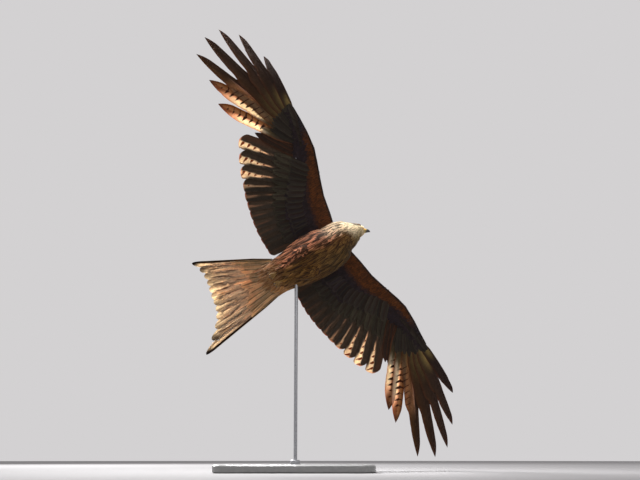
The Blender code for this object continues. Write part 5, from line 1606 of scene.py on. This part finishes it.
def build_bill(cere_material, horn_material):
    """The cere, the hooked upper mandible, the lower one under it, and the yellow corners of the mouth as
    tapered tubes that run back under the eyes. Each mandible darkens from one place forward to another."""
    dress(lofted("cere_skin", from_head(cere_rings())), cere_material, "cere", "cere")
    for name, rings, pale_until, dark_from, node in (
        ("bill_hook", upper_rings(), FACE_FORWARD + 0.0085, FACE_FORWARD + 0.0150, "bill_upper"),
        ("bill_under", lower_rings(), FACE_FORWARD + 0.0050, FACE_FORWARD + 0.0135, "bill_lower"),
    ):
        piece = lofted(name, from_head(rings))
        give(piece, "dark", smooth(rings[..., 0].ravel(), pale_until, dark_from))
        dress(piece, horn_material, "bill", node)
    corner = MOUTH_LEVEL - 0.0009
    for side_name, values in SIDES.items():
        path = [np.array([FACE_FORWARD + 0.0035, values[0] * 0.0084, corner])]
        for back in (0.0005, 0.0055, 0.0105):
            path.append(face_point(FACE_FORWARD - back, values[0], corner - 0.04 * back))
        path, radii = fine_path(path, [0.0007, 0.0010, 0.0009, 0.0004], 26)
        gape = lofted(f"gape_{side_name}", from_head(tube_rings(path, radii, 16)))
        dress(gape, cere_material, "cere")


# Feet.
# How far each toe spreads and how long it is, the hind toe last.
TOES = [(0.010, 0.024), (0.0, 0.028), (-0.010, 0.024), (0.004, 0.016)]


def build_foot(name, side, scale_material, claw_material):
    """Bare shank, four toes closed under the tail, and a claw on each. Toe and claw are tapered tubes."""
    ankle = np.array([-0.2125, side * 0.0238, -0.0379])
    heel = np.array([-0.262, side * 0.0160, -0.0215])
    along = unit(heel - ankle)
    base = heel - along * 0.002
    shank = [ankle, ankle + along * 0.012, heel, heel + along * 0.003]
    scales, claws = [tube_rings(*fine_path(shank, [0.0052, 0.0042, 0.0044, 0.0034], 30), 24)], []
    for index, (spread, length) in enumerate(TOES):
        back = -1 if index == len(TOES) - 1 else 1
        toe = [
            base,
            base + (-0.35 * length * back, side * spread * 0.5, -0.003),
            base + (-0.75 * length * back, side * spread * 0.8, -0.0065),
            base + (-0.88 * length * back, side * spread * 0.7, -0.0120),
        ]
        claw = [
            toe[-1] + (0, 0, 0.002),
            toe[-1] + (-0.02 * length, 0, -0.002),
            base + (-0.62 * length * back, side * spread * 0.5, -0.0165),
        ]
        path, radii = fine_path(toe, [0.0036, 0.0034, 0.0030, 0.0022], 36)
        radii = radii * (1 + 0.07 * np.sin(np.arange(36) * 2 * math.pi / 6))
        scales.append(tube_rings(path, radii, 20))
        claws.append(tube_rings(*fine_path(claw, [0.0019, 0.0014, 0.0003], 20), 14))
    for label, group, material, nodes in (
        ("foot_scales", scales, scale_material, [f"foot_{name}"]),
        ("claws", claws, claw_material, []),
    ):
        points, faces, offset = [], [], 0
        for shell in group:
            faces += [part + offset for part in tube_faces(1, *shell.shape[:2])[0]]
            points.append(placed(shell).reshape(-1, 3))
            offset += len(points[-1])
        piece = mesh_object(f"{label}_{name}", np.concatenate(points), faces, sharp=60)
        dress(piece, material, "foot", *nodes)


# The build.
def build_bird():
    """Every piece of the bird, with its finish."""
    body_finish = plumage_material("body_plumage", glow=0.10, barb_gap=0.0009, barb_height=0.14,
                                   streak_width=0.46, grain=0.5, tip_edge=0.95, spread_of_tones=0.8)
    head_finish = plumage_material("head_plumage", glow=0.12, barb_gap=0.0007, barb_height=0.10,
                                   streak_width=0.34, grain=0.3, grain_scale=700.0, tip_edge=0.95,
                                   spread_of_tones=0.6)
    wing_finish = plumage_material("wing_feathers", glow=0.62, bar_gap=FLIGHT_BAR_GAP)
    tail_finish = plumage_material("tail_feathers", glow=0.70, bar_gap=0.026, grain=0.42, grain_scale=230.0,
                                   spread_of_tones=0.5)
    covert_finish = plumage_material("wing_coverts", glow=0.10, barb_gap=0.0009, grain=0.4)
    cere_finish = plain_material("cere_yellow", tone(232, 188, 62), tone(206, 150, 44), roughness=0.45,
                                 scale=420.0, bump=0.35, distance=0.0003, coat=0.2)
    claw_finish = plain_material("claw_horn", tone(46, 44, 48), tone(20, 19, 22), roughness=0.32,
                                 scale=160.0, bump=0.12, distance=0.0002, coat=0.3)
    scale_finish = plain_material("foot_scales", tone(172, 134, 66), tone(118, 84, 40), roughness=0.55,
                                  scale=600.0, bump=0.5, distance=0.0004, coat=0.1)
    lid_finish = plain_material("lid_skin", tone(84, 70, 44), tone(48, 40, 30), roughness=0.5,
                                scale=500.0, bump=0.3, distance=0.0002)
    eye_finish = eye_material()

    face = body_feathers("face_feathers", 0.0006, 0.034, by_back((0, 0.0017), (0.034, 0.0030)),
                         by_back((0, 0.0018), (0.034, 0.0034)),
                         by_back((0, 0.0035), (0.01, 0.0055), (0.034, 0.011)),
                         by_back((0, 0.0009), (0.034, 0.0024)), 0.20)
    dress(face, head_finish, "head_plumage")
    neck = body_feathers("neck_feathers", 0.034, 0.115, by_back((0.034, 0.0030), (0.115, 0.0068)),
                         by_back((0.034, 0.0034), (0.115, 0.0068)), by_back((0.034, 0.012), (0.115, 0.036)),
                         by_back((0.034, 0.0023), (0.115, 0.0050)), 0.12)
    dress(neck, head_finish, "head_plumage")
    body = body_feathers("body_feathers", 0.112, 0.375, by_back((0.11, 0.0085), (0.2, 0.0115),
                                                                (0.37, 0.0115)),
                         by_back((0.11, 0.0070), (0.2, 0.0085), (0.37, 0.0095)),
                         by_back((0.11, 0.046), (0.2, 0.060), (0.37, 0.052)),
                         by_back((0.11, 0.0042), (0.2, 0.0052), (0.37, 0.0065)), 0.08)
    dress(body, body_finish, "body_plumage")
    dress(vent_feathers(), body_finish, "body_plumage")
    for side_name, values in SIDES.items():
        nodes = f"wing_{side_name}_arm", f"wing_{side_name}_hand"
        dress(flight_feathers(side_name), wing_finish, "wing_feathers", *nodes)
        dress(covert_feathers(side_name), covert_finish, "wing_feathers")
        dress(lesser_coverts(side_name), covert_finish, "wing_feathers")
        build_eye(f"eye_{side_name}", values[0], eye_finish)
        build_lid(f"lid_{side_name}", values[0], lid_finish)
        dress(thigh_feathers(side_name), body_finish, "body_plumage")
        build_foot(side_name, values[0], scale_finish, claw_finish)
    dress(tail_feathers(), tail_finish, "tail_feathers", "tail")
    build_bill(cere_finish, horn_finish())
    dress(build_skin(), skin_finish(), "body_plumage", "rump", "torso", "neck", "head", "thigh_left",
          "thigh_right")


def build_stand():
    """The stand's own solids: a satin base, and a steel rod and collar."""
    base = plain_material("stand_satin", tone(132, 132, 131), tone(126, 126, 125), roughness=0.42, scale=60.0,
                          bump=0.06, distance=0.0003, coat=0.15)
    steel = plain_material("stand_steel", tone(176, 177, 180), tone(150, 151, 155), roughness=0.30,
                           scale=300.0, bump=0.05, distance=0.0001, metallic=1.0)
    for name, material in (("stand_base", base), ("stand_collar", steel), ("stand_rod", steel)):
        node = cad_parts[name]
        node.data.materials.clear()
        node.data.materials.append(material)


# Room, light and camera.
CAMERA_PLACE = (0.08271, -3.33428, 0.05111)
CAMERA_TARGET = (0.08271, -0.01616, 0.79280)
FOCAL_PIXELS = 969.0
PICTURE_WIDTH = 640
BACKDROP = tone(211, 209, 210)


# Lamps: name, place, size, watts and spread in degrees.
LAMPS = [
    ("key", (-1.7, 3.0, 2.4), 1.6, 260.0, 180),
    ("top", (-0.35, -0.12, 2.9), 0.5, 13.0, 60),
    ("front", (1.6, -3.0, 1.8), 2.5, 10.0, 180),
]
LAMP_TARGET = (0.1, 0.0, 0.8)
FLOOR_RADIUS, FLOOR_LEVEL, FLOOR_SIDES = 9.0, -0.0005, 64


def aimed(made, place, target):
    """Puts a camera or lamp in the scene at place, turned so that its -Z looks at target with its Y up."""
    bpy.context.scene.collection.objects.link(made)
    back = unit(np.array(place, float) - np.array(target, float))
    right = unit(np.cross([0.0, 0.0, 1.0], back))
    turn = np.column_stack([right, np.cross(back, right), back])
    made.matrix_world = Matrix([[*row, shift] for row, shift in zip(turn.tolist(), place)] + [[0, 0, 0, 1]])


def build_floor():
    """A pale round floor just under the base."""
    angle = np.arange(FLOOR_SIDES) * 2 * math.pi / FLOOR_SIDES
    rim = np.column_stack([np.cos(angle), np.sin(angle), 0 * angle]) * FLOOR_RADIUS + (0, 0, FLOOR_LEVEL)
    floor = bpy.data.meshes.new("floor")
    floor.from_pydata(rim.tolist(), [], [list(range(FLOOR_SIDES))])
    floor = bpy.data.objects.new("floor", floor)
    bpy.context.scene.collection.objects.link(floor)
    matte = plain_material("floor_matte", tone(148, 146, 147), tone(144, 142, 143), roughness=0.9, scale=3.0,
                           bump=0.02)
    floor.data.materials.append(matte)


def build_room():
    """An even pale surround, the floor, soft lamps, and the camera at the photograph's angle. One lamp is
    high behind the bird, a narrow one over it grazes the flank and the head, and a weak one is in front."""
    world = bpy.data.worlds.new("studio")
    bpy.context.scene.world = world
    world.use_nodes = True
    world.node_tree.nodes["Background"].inputs["Color"].default_value = (*BACKDROP, 1)
    world.node_tree.nodes["Background"].inputs["Strength"].default_value = 1.0
    build_floor()
    for name, place, size, watts, spread in LAMPS:
        lamp = bpy.data.lights.new(name, "AREA")
        lamp.size = size
        lamp.energy = watts
        lamp.spread = math.radians(spread)
        made = bpy.data.objects.new(name, lamp)
        made.visible_camera = False
        aimed(made, place, LAMP_TARGET)
    camera = bpy.data.cameras.new("camera")
    camera.lens = camera.sensor_width * FOCAL_PIXELS / PICTURE_WIDTH
    made = bpy.data.objects.new("camera", camera)
    aimed(made, CAMERA_PLACE, CAMERA_TARGET)
    bpy.context.scene.camera = made
    bpy.context.scene.view_settings.view_transform = "Standard"


build_bird()
build_stand()
build_room()
